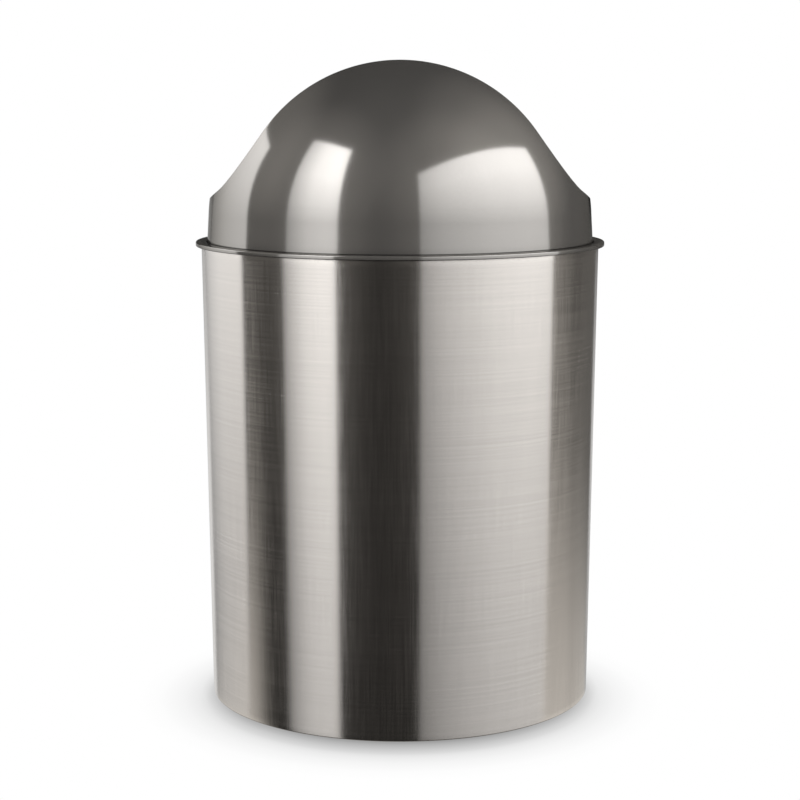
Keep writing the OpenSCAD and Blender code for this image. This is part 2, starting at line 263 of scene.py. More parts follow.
@dataclass(frozen=True)
class Finish:
    """A procedural finish.

    The grain is a stretched noise that drives roughness, colour and bump. A band of painted shadow is a
    height, the distance from it at which the shadow ends, and the brightness in its middle.
    """

    name: str
    slot: Slot
    colour: Triple
    metallic: float = 0.0
    roughness: float = 0.4
    roughness_swing: float = 0.08
    colour_swing: float = 0.06
    grain: Triple = (900.0, 900.0, 900.0)
    bump: float = 0.15
    bump_depth: float = 0.02 * MM
    shadow_bands: Sequence[Triple] = ()

    def painted_shade(self, graph: ShaderGraph, bright: Socket) -> Socket:
        """Paints shade into a brightness at the bands of painted shadow.

        Args:
            graph: the graph of the material's tree.
            bright: the brightness outside the bands of painted shadow.

        Returns:
            The dimmed brightness.
        """
        # Painted shade: each band darkens the colour about a height, standing in for a contact shadow.
        for middle, reach, dim in self.shadow_bands:
            off = graph.math("ABSOLUTE", graph.math("SUBTRACT", graph.axis("Z", graph.place()), middle))
            bright = graph.product(bright, graph.eased(off, reach / 2, reach, low=dim))
        return bright

    def shade(self, graph: ShaderGraph) -> dict:
        """The inputs of the principled shader.

        Args:
            graph: the graph of the material's tree.

        Returns:
            Socket name to value or feeding socket.
        """
        grain = graph.stretched_noise(self.grain)
        bright = graph.spread(grain, 1.0 - self.colour_swing, 1.0)
        return {
            # The colour carries the painted shade of the shadow bands.
            "Base Color": graph.tinted(self.colour, self.painted_shade(graph, bright)),
            "Metallic": self.metallic,
            "Roughness": graph.swing(grain, self.roughness, self.roughness_swing),
            "Normal": graph.bump(grain, self.bump, self.bump_depth),
        }

    def material(self) -> bpy.types.Material:
        """The material, made at its first use.

        Returns:
            The Blender material of this finish.
        """
        made = bpy.data.materials.get(self.name)
        if made is None:
            made = new_material(self.name)
            made.diffuse_color = (*self.colour, 1.0)
            graph = ShaderGraph(made.node_tree)
            shader = graph.add("BsdfPrincipled", self.shade(graph))
            graph.add("OutputMaterial", {"Surface": shader.outputs["BSDF"]})
        return made


@dataclass(frozen=True)
class BrushedNickel(Finish):
    """Satin nickel brushed round the shell, with a faint cross grain, soft patches and a weld seam."""

    stroke: Triple = (7.0, 7.0, 1250.0)
    stroke_swing: float = 0.09
    cross: Triple = (1450.0, 1450.0, 18.0)
    cross_swing: float = 0.030
    cross_tint: float = 0.985
    cross_relief: float = 0.35
    patch: Triple = (9.0, 9.0, 26.0)
    patch_swing: float = 0.05
    seam_half: float = 0.45 * MM
    seam_start: float = 10.0 * MM
    seam_fade: float = 1.7
    seam_relief: float = -4.0
    anisotropy: float = 0.95
    anisotropy_turn: float = 0.25

    def shade(self, graph: ShaderGraph) -> dict:
        """The inputs of the principled shader, with the brushing's two grains.

        Args:
            graph: the graph of the material's tree.

        Returns:
            Socket name to value or feeding socket.
        """
        strokes = graph.stretched_noise(self.stroke, detail=2.0)
        crossing = graph.stretched_noise(self.cross, detail=1.0)
        patches = graph.stretched_noise(self.patch, detail=1.0)
        place = graph.place()
        off = graph.math("ABSOLUTE", graph.axis("X", place))
        seam = graph.product(
            graph.eased(off, self.seam_half, self.seam_half / 2),
            graph.eased(graph.axis("Y", place), 0.0, self.seam_start),
        )
        bright = graph.product(
            graph.spread(strokes, 1.0 - self.colour_swing, 1.0),
            graph.spread(crossing, self.cross_tint, 1.0),
            graph.eased(seam, self.seam_fade, 0.0),
        )
        rough = graph.product(
            graph.swing(crossing, self.roughness, self.cross_swing),
            graph.swing(patches, 1.0, self.patch_swing),
            graph.swing(strokes, 1.0, self.stroke_swing),
        )
        height = graph.math("MULTIPLY_ADD", crossing, self.cross_relief, strokes)
        height = graph.math("MULTIPLY_ADD", seam, self.seam_relief, height)
        return {
            # The colour carries the painted shade of the shadow bands.
            "Base Color": graph.tinted(self.colour, self.painted_shade(graph, bright)),
            "Metallic": self.metallic,
            "Roughness": rough,
            "Anisotropic": self.anisotropy,
            "Anisotropic Rotation": self.anisotropy_turn,
            "Tangent": graph.add("Tangent", direction_type="RADIAL", axis="Z").outputs["Tangent"],
            "Normal": graph.bump(height, self.bump, self.bump_depth),
        }


@dataclass(frozen=True)
class DarkNickel(Finish):
    """Glossy dark nickel over a moulding: a slow ripple, a fine speckle and dry smudges."""

    ripple: Triple = (38.0, 38.0, 38.0)
    ripple_bump: float = 0.1
    ripple_depth: float = 0.06 * MM
    smudge: Triple = (26.0, 26.0, 14.0)
    smudge_range: Point = (0.85, 1.2)
    edge_tint: Triple = (0.45, 0.44, 0.42)

    def shade(self, graph: ShaderGraph) -> dict:
        """The inputs of the principled shader, with the ripple under the speckle.

        Args:
            graph: the graph of the material's tree.

        Returns:
            Socket name to value or feeding socket.
        """
        sockets = super().shade(graph)
        waves = graph.stretched_noise(self.ripple, detail=1.0)
        ripple = graph.bump(waves, self.ripple_bump, self.ripple_depth)
        graph.tree.links.new(ripple, sockets["Normal"].node.inputs["Normal"])
        smudges = graph.spread(graph.stretched_noise(self.smudge, detail=4.0), *self.smudge_range)
        sockets["Roughness"] = graph.product(sockets["Roughness"], smudges)
        sockets["Specular Tint"] = (*self.edge_tint, 1.0)
        return sockets


@dataclass(frozen=True)
class RimNickel(DarkNickel):
    """The rim's dark nickel, with the contact shadow of the lid's collar on its top face."""

    bore: float = 0.0
    top: float = 0.0
    dark_reach: float = 3.0 * MM
    lit_reach: float = 5.6 * MM
    low_drop: float = 0.9 * MM
    high_drop: float = 0.4 * MM
    shadow: float = 0.88

    def painted_shade(self, graph: ShaderGraph, bright: Socket) -> Socket:
        """Paints shade into a brightness at the shadow bands, and a contact shadow round the bore.

        Args:
            graph: the graph of the material's tree.
            bright: the brightness outside the painted shade.

        Returns:
            The dimmed brightness.
        """
        # Painted shadow of the lid's collar: the top face is darkened near the bore.
        place = graph.place()
        flat = graph.vector("MULTIPLY", "Vector", place, (1.0, 1.0, 0.0))
        radius = graph.vector("LENGTH", "Value", flat)
        near = graph.product(
            graph.eased(radius, self.bore + self.lit_reach, self.bore + self.dark_reach, self.shadow),
            graph.eased(graph.axis("Z", place), self.top - self.low_drop, self.top - self.high_drop),
        )
        return graph.product(super().painted_shade(graph, bright), graph.math("SUBTRACT", 1.0, near))


SHELL_FINISH = BrushedNickel(
    "brushed_nickel", Slot.SHELL, (0.695, 0.66, 0.625), metallic=1.0, roughness=0.215,
    colour_swing=0.045, bump=0.10, bump_depth=0.008 * MM,
)
LID_PLATING = {
    "slot": Slot.LID, "colour": (0.395, 0.381, 0.364), "metallic": 0.81, "roughness": 0.105,
    "roughness_swing": 0.015, "colour_swing": 0.05, "grain": (1500.0, 1500.0, 1500.0), "bump": 0.05,
    "bump_depth": 0.006 * MM,
}
LID_FINISH = DarkNickel("dark_nickel", **LID_PLATING)
RIM_FINISH = RimNickel("rim_nickel", **LID_PLATING)
BUCKET_FINISH = Finish("moulded_bucket", Slot.BUCKET, (0.05, 0.05, 0.053), roughness=0.46, bump=0.3)
BASE_FINISH = Finish(
    "grey_enamel", Slot.BASE, (0.30, 0.30, 0.31), roughness=0.38, grain=(500.0, 500.0, 500.0),
)
FOOT_FINISH = Finish("black_rubber", Slot.FOOT, (0.035, 0.035, 0.036), roughness=0.72, bump=0.5)
STOP_FINISH = Finish("stop_rubber", Slot.STOP, (0.04, 0.04, 0.04), roughness=0.66, bump=0.4)
NYLON_FINISH = Finish("natural_nylon", Slot.NYLON, (0.78, 0.76, 0.68), roughness=0.42)
PIN_FINISH = Finish(
    "turned_steel", Slot.PIN, (0.68, 0.68, 0.69), metallic=1.0, roughness=0.24,
    grain=(400.0, 9000.0, 400.0),
)
SPRING_FINISH = Finish(
    "spring_steel", Slot.SPRING, (0.16, 0.16, 0.17), metallic=1.0, roughness=0.38,
)
WEIGHT_FINISH = Finish(
    "mill_bar", Slot.WEIGHT, (0.42, 0.42, 0.43), metallic=1.0, roughness=0.44,
    grain=(2500.0, 60.0, 2500.0),
)


def arc(centre: Point, radius: float, start: float, end: float, steps: int) -> list[Point]:
    """Points along an arc.

    Args:
        centre: centre of the arc.
        radius: radius of the arc.
        start: first angle in degrees.
        end: last angle in degrees.
        steps: number of equal steps.

    Returns:
        The points, ends included.
    """
    angles = [math.radians(start + (end - start) * i / steps) for i in range(steps + 1)]
    return [(centre[0] + radius * math.cos(a), centre[1] + radius * math.sin(a)) for a in angles]


def rounded(corners: Sequence[Triple], steps: int = EDGE_STEPS) -> list[Point]:
    """A closed outline whose corners are rounded.

    Args:
        corners: x, y and corner radius of each corner, in order.
        steps: steps in each rounded corner.

    Returns:
        The outline's points; a corner with no radius stays one point.
    """
    outline: list[Point] = []
    for i, (x, y, radius) in enumerate(corners):
        here = Vector((x, y))
        if radius <= 0:
            outline.append((x, y))
            continue
        back = (Vector(corners[i - 1][:2]) - here).normalized()
        ahead = (Vector(corners[(i + 1) % len(corners)][:2]) - here).normalized()
        half = back.angle(ahead) / 2
        centre = here + (back + ahead).normalized() * (radius / math.sin(half))
        first = here + back * (radius / math.tan(half)) - centre
        last = here + ahead * (radius / math.tan(half)) - centre
        turn = first.angle_signed(last)
        for k in range(steps + 1):
            spot = centre + Matrix.Rotation(-turn * k / steps, 2) @ first
            outline.append((spot.x, spot.y))
    return outline


def drawn_in(outline: Sequence[Point], inset: float) -> list[Point]:
    """A convex outline whose points have moved in.

    Args:
        outline: the outline's points.
        inset: distance by which each moves.

    Returns:
        The moved points.
    """
    middle = Vector(np.mean(outline, axis=0))
    moved = []
    for i, point in enumerate(outline):
        along = (Vector(outline[(i + 1) % len(outline)]) - Vector(outline[i - 1])).normalized()
        across = Vector((-along.y, along.x))
        if across.dot(middle - Vector(point)) < 0:
            across.negate()
        moved.append(tuple(Vector(point) + across * inset))
    return moved


def rounded_edge(top: float, bottom: float, side: float, radius: float, steps: int = 5) -> list[Point]:
    """The way round the rounded edge of a wall.

    Args:
        top: depth of the wall's upper face.
        bottom: depth of its lower face.
        side: how far its side is drawn in.
        radius: radius of both roundings.
        steps: steps in each rounding.

    Returns:
        Depth and drawing-in of each step, from the upper face to the lower.
    """
    turns = np.radians(np.linspace(0, 90, steps + 1))
    upper = [(top + radius * (1 - math.cos(t)), side + radius * (1 - math.sin(t))) for t in turns]
    return upper + [(bottom + top - depth, inset) for depth, inset in reversed(upper)]


def set_out(name: str, data: Mesh | bpy.types.Camera) -> bpy.types.Object:
    """A new object in the scene."""
    item = bpy.data.objects.new(name, data)
    bpy.context.scene.collection.objects.link(item)
    return item


def evaluated(item: bpy.types.Object) -> Mesh:
    """A plain mesh of an object as its modifiers make it."""
    return bpy.data.meshes.new_from_object(item.evaluated_get(bpy.context.evaluated_depsgraph_get()))


def close(mesh: Mesh) -> None:
    """Merges a mesh's doubles, drops empty faces and points its faces outwards.

    Args:
        mesh: the mesh.
    """
    work = bmesh.new()
    work.from_mesh(mesh)
    bmesh.ops.remove_doubles(work, verts=work.verts, dist=MERGE)
    bmesh.ops.dissolve_degenerate(work, edges=work.edges, dist=MERGE / 2)
    bmesh.ops.recalc_face_normals(work, faces=work.faces)
    work.to_mesh(mesh)
    work.free()


def closed_mesh(name: str, points: Iterable, faces: Iterable) -> Mesh:
    """A mesh with its doubles merged and its faces pointing outwards.

    Args:
        name: name of the mesh.
        points: vertex positions.
        faces: vertex numbers of each face.

    Returns:
        The closed mesh.
    """
    made = bpy.data.meshes.new(name)
    made.from_pydata([tuple(map(float, p)) for p in points], [], [tuple(map(int, f)) for f in faces])
    close(made)
    return made


def joined(name: str, parts: Sequence[Mesh]) -> Mesh:
    """One mesh out of several.

    Args:
        name: name of the joined mesh.
        parts: the meshes, in place, which are used up.

    Returns:
        The joined mesh.
    """
    work = bmesh.new()
    for part in parts:
        work.from_mesh(part)
        bpy.data.meshes.remove(part)
    made = bpy.data.meshes.new(name)
    work.to_mesh(made)
    work.free()
    return made


def bar(name: str, low: Triple, high: Triple, edge: float) -> Mesh:
    """A straight bar with rounded edges.

    Args:
        name: name of the mesh.
        low: its lowest corner.
        high: its highest corner.
        edge: radius of its edges.

    Returns:
        The mesh of the bar.
    """
    work = bmesh.new()
    bmesh.ops.create_cube(work, size=1.0)
    middle, size = (Vector(low) + Vector(high)) / 2, Vector(high) - Vector(low)
    place = Matrix.Translation(middle) @ Matrix.Diagonal((*size, 1.0))
    bmesh.ops.transform(work, matrix=place, verts=work.verts)
    bmesh.ops.bevel(work, geom=list(work.edges), offset=edge, segments=3, profile=0.5, affect="EDGES")
    made = bpy.data.meshes.new(name)
    work.to_mesh(made)
    work.free()
    return made


class Patchwork:
    """Collects blocks of points with the faces between them."""

    def __init__(self) -> None:
        """Starts without points."""
        self.points: list = []
        self.faces: list = []

    def grid(self, block: np.ndarray) -> None:
        """Adds rows and columns of points and the faces between them.

        Args:
            block: the points by row and column.
        """
        start = len(self.points)
        rows, columns = block.shape[:2]
        self.points.extend(block.reshape(-1, 3))
        for r in range(rows - 1):
            for c in range(columns - 1):
                k = start + r * columns + c
                self.faces.append((k, k + 1, k + columns + 1, k + columns))

    def mirrored(self, name: str) -> Mesh:
        """The mesh of a quarter and its three mirror images.

        Args:
            name: name of the mesh.

        Returns:
            The closed mesh.
        """
        points = np.array(self.points)
        every_point, every_face = [], []
        for i, (sx, sy) in enumerate(((1, 1), (-1, 1), (1, -1), (-1, -1))):
            every_point.append(points * [sx, sy, 1])
            every_face += [tuple(i * len(points) + k for k in face) for face in self.faces]
        return closed_mesh(name, np.vstack(every_point), every_face)


def skinned(name: str, rings: Sequence[Sequence[Triple]], capped: bool = True) -> Mesh:
    """A skin over closed rings of points.

    Args:
        name: name of the mesh.
        rings: the rings, with as many points each.
        capped: whether the first and the last ring are closed by a face.

    Returns:
        The closed mesh.
    """
    patches = Patchwork()
    patches.grid(np.array([[*ring, ring[0]] for ring in rings]))
    if capped:
        count = len(rings[0])
        last = len(patches.points) - count - 1
        patches.faces += [tuple(range(count)), tuple(range(last, last + count))]
    return closed_mesh(name, patches.points, patches.faces)


def add_piece(
    name: str, mesh: Mesh, body: Body, finish: Finish, node: str, sharp_deg: float = 35.0,
) -> None:
    """Adds a dressed piece that rides on its body.

    Args:
        name: name of the piece.
        mesh: its mesh, in place.
        body: the body that it rides on.
        finish: its finish.
        node: the frame's node that it stands for.
        sharp_deg: angle past which an edge stays sharp.
    """
    piece = set_out(name, mesh)
    mesh.materials.clear()
    mesh.materials.append(finish.material())
    mesh.shade_smooth()
    mesh.set_sharp_from_angle(angle=math.radians(sharp_deg))
    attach(piece, body.value)
    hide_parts(node)
    LOG.info("%s: %d vertices, on %s", name, len(mesh.vertices), body.value)


class ShapeTool(NodeGraph):
    """Geometry nodes with named inputs that are run on a mesh once.

    A tool names its inputs in sizes, each with its kind, and makes its geometry in shaped. Its tree
    ends in Realize Instances and Set Material.
    """

    title: ClassVar[str]
    sizes: ClassVar[dict[str, str]]

    def __init__(self) -> None:
        """Builds the tree with its named inputs."""
        super().__init__(bpy.data.node_groups.new(self.title, "GeometryNodeTree"))
        face = self.tree.interface
        kinds = {"Shape": "Geometry", **self.sizes, "Finish": "Material"}
        self.keys = {
            size: face.new_socket(size, in_out="INPUT", socket_type="NodeSocket" + kind).identifier
            for size, kind in kinds.items()
        }
        face.new_socket("Made", in_out="OUTPUT", socket_type="NodeSocketGeometry")
        given = self.add("NodeGroupInput").outputs
        whole = self.add("GeometryNodeRealizeInstances", {"Geometry": self.shaped(given)})
        inputs = {"Geometry": whole.outputs["Geometry"], "Material": given["Finish"]}
        painted = self.add("GeometryNodeSetMaterial", inputs)
        self.add("NodeGroupOutput", {"Made": painted.outputs["Geometry"]})

    def shaped(self, given: bpy.types.NodeOutputs) -> Socket:
        """The geometry that is made of the tree's inputs, which every tool gives in its own way."""
        raise NotImplementedError

    def run(self, shape: Mesh, finish: Finish, sizes: dict[str, float]) -> Mesh:
        """Runs the tree on a mesh.

        Args:
            shape: the mesh, which is used up.
            finish: the finish that the tree sets.
            sizes: value of each named input.

        Returns:
            The plain mesh that it makes.
        """
        holder = set_out(shape.name, shape)
        modifier = holder.modifiers.new(self.title, "NODES")
        modifier.node_group = self.tree
        for size, value in {**sizes, "Finish": finish.material()}.items():
            modifier[self.keys[size]] = value
        made = evaluated(holder)
        bpy.data.objects.remove(holder)
        bpy.data.meshes.remove(shape)
        return made


class Lathe(ShapeTool):
    """Turns a profile round the axis."""

    title = "turn_profile"
    sizes = {"Steps": "Int", "Rail Radius": "Float"}

    def shaped(self, given: bpy.types.NodeOutputs) -> Socket:
        """A circle that is swept with the profile.

        Args:
            given: the tree's inputs.

        Returns:
            The geometry's socket.
        """
        inputs = {"Resolution": given["Steps"], "Radius": given["Rail Radius"]}
        circle = self.add("GeometryNodeCurvePrimitiveCircle", inputs)
        profile = self.add("GeometryNodeMeshToCurve", {"Mesh": given["Shape"]})
        curves = {"Curve": circle.outputs["Curve"], "Profile Curve": profile.outputs["Curve"]}
        return self.add("GeometryNodeCurveToMesh", curves).outputs["Mesh"]

    def turn(self, name: str, outline: Sequence[Point], finish: Finish, steps: int = AXIS_STEPS) -> Mesh:
        """Turns a closed outline of radius and height round the axis.

        Args:
            name: name of the mesh.
            outline: radius and height of each point.
            finish: the finish that the tree sets.
            steps: steps round the axis.

        Returns:
            The closed mesh.
        """
        rail = max(radius for radius, _ in outline) / 2
        count = len(outline)
        profile = bpy.data.meshes.new(name + "_profile")
        spots = [(radius - rail, -height, 0.0) for radius, height in outline]
        profile.from_pydata(spots, [(i, (i + 1) % count) for i in range(count)], [])
        made = self.run(profile, finish, {"Steps": steps, "Rail Radius": rail})
        made.name = name
        close(made)
        return made


class Repeater(ShapeTool):
    """Repeats a shape in a row or round the axis."""

    title = "repeat_shape"
    sizes = {"Count": "Int", "Turn": "Float", "Pitch": "Float"}

    def shaped(self, given: bpy.types.NodeOutputs) -> Socket:
        """The shape on each point of a row, turned about the axis by its number.

        Args:
            given: the tree's inputs.

        Returns:
            The geometry's socket.
        """
        pitch = self.add("ShaderNodeCombineXYZ", {"Y": given["Pitch"]}).outputs["Vector"]
        row = self.add("GeometryNodeMeshLine", {"Count": given["Count"], "Offset": pitch})
        number = self.add("GeometryNodeInputIndex").outputs["Index"]
        angle = self.add("ShaderNodeMath", {0: number, 1: given["Turn"]}, operation="MULTIPLY")
        euler = self.add("ShaderNodeCombineXYZ", {"Z": angle.outputs["Value"]})
        turned = self.add("FunctionNodeEulerToRotation", {"Euler": euler.outputs["Vector"]})
        inputs = {
            "Points": row.outputs["Mesh"], "Instance": given["Shape"],
            "Rotation": turned.outputs["Rotation"],
        }
        return self.add("GeometryNodeInstanceOnPoints", inputs).outputs["Instances"]

    def repeat(self, shape: Mesh, count: int, finish: Finish, turn: float = 0.0, pitch: float = 0.0) -> Mesh:
        """One mesh with copies turned about the axis, or set along Y at a pitch."""
        return self.run(shape, finish, {"Count": count, "Turn": turn, "Pitch": pitch})


@dataclass
class Workshop:
    """The lathe and the repeater that every assembly shares."""

    lathe: Lathe = field(default_factory=Lathe)
    repeater: Repeater = field(default_factory=Repeater)

    def turned_piece(
        self, name: str, outline: Sequence[Point], body: Body, finish: Finish, node: str,
        steps: int = AXIS_STEPS,
    ) -> None:
        """Adds a piece that is turned round the receptacle's axis."""
        add_piece(name, self.lathe.turn(node + "_turned", outline, finish, steps), body, finish, node)


def stage_card(name: str, corners: Sequence[Sequence[float]], unseen_by: Sequence[str]) -> ShaderGraph:
    """Sets up a flat card of the studio, which isn't part of the object.

    Args:
        name: name of the card.
        corners: its four corners.
        unseen_by: the kinds of ray that pass it by.

    Returns:
        The empty graph of its material.
    """
    mesh = bpy.data.meshes.new(name)
    mesh.from_pydata([tuple(corner) for corner in corners], [], [(0, 1, 2, 3)])
    card = set_out(name, mesh)
    for ray in unseen_by:
        setattr(card, "visible_" + ray, False)
    material = new_material(name)
    mesh.materials.append(material)
    return ShaderGraph(material.node_tree)


@dataclass(frozen=True)
class Softbox:
    """A flat softbox that faces the axis.

    Its strength is the share for the height, in climb, times the share for the place across, in
    sweep. It is as wide as its sweep and ends at the top of its climb.
    """

    name: str
    azimuth_deg: float
    distance: float
    climb: Sequence[Point]
    sweep: Sequence[Point]
    strength: float
    low: float = -0.90

    def build(self) -> None:
        """Makes the softbox."""
        turn = math.radians(self.azimuth_deg)
        middle = Vector((math.sin(turn), -math.cos(turn), 0.0)) * self.distance
        along = Vector((math.cos(turn), math.sin(turn), 0.0))
        high, half = self.climb[-1][0], self.sweep[-1][0]
        corners = [
            middle + along * across + Vector((0.0, 0.0, height))
            for across, height in ((-half, self.low), (half, self.low), (half, high), (-half, high))
        ]
        graph = stage_card(self.name, corners, ("camera", "shadow"))
        place = graph.place()
        width = graph.vector("DOT_PRODUCT", "Value", place, tuple(along))
        climb, sweep = graph.curve(graph.axis("Z", place), self.climb), graph.curve(width, self.sweep)
        graph.glow(graph.product(climb, sweep, self.strength))


# The stops of the softboxes were set next to the brightness of the photograph's reflections.
SIDE_CLIMB = ((-0.3, 0.222), (0.0, 0.33), (0.23, 0.39), (0.58, 0.71), (0.95, 0.96))
SOFTBOXES = (
    Softbox(
        "softbox_right", 52.7, 1.25, climb=(*SIDE_CLIMB, (1.272, 1.0)),
        sweep=((-1.11, 0.38), (-0.70, 0.60), (0.04, 0.9), (0.55, 1.0), (1.11, 1.0)), strength=3.0,
    ),
    Softbox(
        "softbox_left", -50.8, 1.35, climb=(*SIDE_CLIMB, (1.3, 1.0), (1.567, 1.0)),
        sweep=((-0.388, 0.42), (-0.245, 0.62), (-0.045, 0.88), (0.2, 0.98), (0.388, 0.97)), strength=3.35,
    ),
    Softbox(
        "backdrop_left", -125.5, 2.6,
        climb=(
            (-0.7, 0.28), (-0.4, 0.36), (-0.25, 0.45), (0.0, 0.54), (0.1, 0.58), (0.9, 0.88), (1.9, 1.12),
        ),
        sweep=((-1.24, 0.42), (-0.65, 0.71), (0.0, 0.92), (1.24, 1.0)), strength=2.0,
    ),
    Softbox(
        "backdrop_corner", -163.0, 2.5,
        climb=((-0.7, 0.85), (-0.3, 0.85), (0.0, 0.6), (0.25, 0.45), (0.45, 0.0)),
        sweep=((-0.53, 0.85), (0.53, 1.0)), strength=1.0,
    ),
    Softbox(
        "backdrop_rear", -175.0, 2.6,
        climb=((-0.7, 0.8), (-0.3, 1.0), (0.0, 0.5), (0.2, 0.0), (0.45, 0.0)),
        sweep=((-1.5, 0.45), (-0.5, 0.45), (0.5, 0.35), (1.5, 0.42)), strength=1.5,
    ),
)


@dataclass
class Studio:
    """Camera, softboxes, floor and surroundings of the portrait.

    A halo is its direction, the cosine to it at which it starts, and its strength. The skirt is a
    band low behind the object, and the table lies under it. Both give the sines between which they
    come up.

    The camera and the first seven halos are the results of least-squares fits to the photograph,
    the halos to its brightness. The last halo was given. The stops of cast were read off the
    brightness of the photograph's shadow at ten distances.
    """

    lens_mm: float = 89.78
    sensor_mm: float = 36.0
    nearest: float = 0.05
    farthest: float = 200.0
    eye_y: float = -1247.17 * MM
    eye_z: float = 377.08 * MM
    pitch_deg: float = 8.7227
    floor_half: float = 6.0
    cast_y: float = -18.0 * MM
    cast: Sequence[Point] = (
        (0.100, 0.40), (0.104, 0.46), (0.110, 0.53), (0.114, 0.60), (0.120, 0.70),
        (0.1235, 0.78), (0.128, 0.84), (0.137, 0.91), (0.152, 0.98), (0.166, 1.0),
    )
    contact: Sequence[Point] = ((0.1165, 0.80), (0.1185, 0.87), (0.122, 0.94), (0.127, 1.0))
    warm: Triple = (1.0, 0.965, 0.91)
    fill: Point = (0.28, 0.70)
    fill_up: Point = (0.9, 0.0)
    skirt: float = 0.80
    skirt_back: Point = (-0.12, 0.24)
    skirt_up: Point = (-0.19, -0.35)
    table: float = 0.45
    table_up: Point = (-0.70, -0.95)
    halos: Sequence[tuple[Triple, float, float]] = (
        ((0.80, -0.18, 0.58), 0.62, 0.195), ((-0.85, 0.32, 0.42), 0.76, 0.214),
        ((-0.26, -0.83, 0.49), 0.34, 0.048), ((0.94, -0.17, 0.28), 0.65, 0.274),
        ((-0.77, -0.51, 0.38), 0.66, 0.185), ((0.44, 0.90, 0.02), 0.63, 0.124),
        ((0.49, -0.76, 0.43), 0.66, 0.161), ((0.84, 0.38, -0.42), 0.96, 0.15),
    )

    def camera(self) -> None:
        """Places the camera where the photograph was taken from."""
        data = bpy.data.cameras.new("portrait_camera")
        data.lens, data.sensor_width = self.lens_mm, self.sensor_mm
        data.clip_start, data.clip_end = self.nearest, self.farthest
        camera = set_out("portrait_camera", data)
        camera.location = (0.0, self.eye_y, self.eye_z)
        camera.rotation_euler = (math.radians(90.0 - self.pitch_deg), 0.0, 0.0)
        bpy.context.scene.camera = camera

    def surroundings(self) -> None:
        """White to the camera, a soft fill to matt surfaces, and dark with soft glows to glossy ones."""
        world = bpy.data.worlds.new("studio")
        world.use_nodes = True
        bpy.context.scene.world = world
        graph = ShaderGraph(world.node_tree)
        path = graph.add("LightPath").outputs
        way = graph.add("TexCoord").outputs["Generated"]
        back, up = graph.axis("Y", way), graph.axis("Z", way)
        glow: Socket | float = 0.0
        for centre, start, strength in self.halos:
            near = graph.vector("DOT_PRODUCT", "Value", way, tuple(Vector(centre).normalized()))
            glow = graph.math("ADD", glow, graph.eased(near, start, 1.0, strength))
        behind = graph.eased(back, *self.skirt_back, self.skirt)
        glow = graph.math("ADD", glow, graph.product(behind, graph.eased(up, *self.skirt_up)))
        glow = graph.math("ADD", glow, graph.eased(up, *self.table_up, self.table))
        glossy = graph.background(self.warm, glow)
        fill = graph.background(self.warm, graph.mapped(up, self.fill_up, self.fill))
        white = graph.background(WHITE, 1.0)
        matt = graph.add("MixShader", {"Fac": path["Is Diffuse Ray"], 1: glossy, 2: fill}).outputs[0]
        seen = graph.add("MixShader", {"Fac": path["Is Camera Ray"], 1: matt, 2: white}).outputs[0]
        graph.add("OutputWorld", {"Surface": seen})

    def floor(self) -> None:
        """A white floor with a soft contact shadow, which lights nothing."""
        half = self.floor_half
        corners = [(x * half, y * half, 0.0) for x, y in ((-1, -1), (1, -1), (1, 1), (-1, 1))]
        graph = stage_card("floor", corners, ("glossy", "diffuse"))
        place = graph.place()
        away = graph.vector("LENGTH", "Value", place)
        ahead = graph.vector("DISTANCE", "Value", place, (0.0, self.cast_y, 0.0))
        graph.glow(graph.product(graph.curve(away, self.contact), graph.curve(ahead, self.cast)))

    def build(self) -> None:
        """Sets the whole studio up."""
        self.camera()
        self.surroundings()
        self.floor()
        for softbox in SOFTBOXES:
            softbox.build()
        bpy.context.scene.view_settings.view_transform = "Standard"


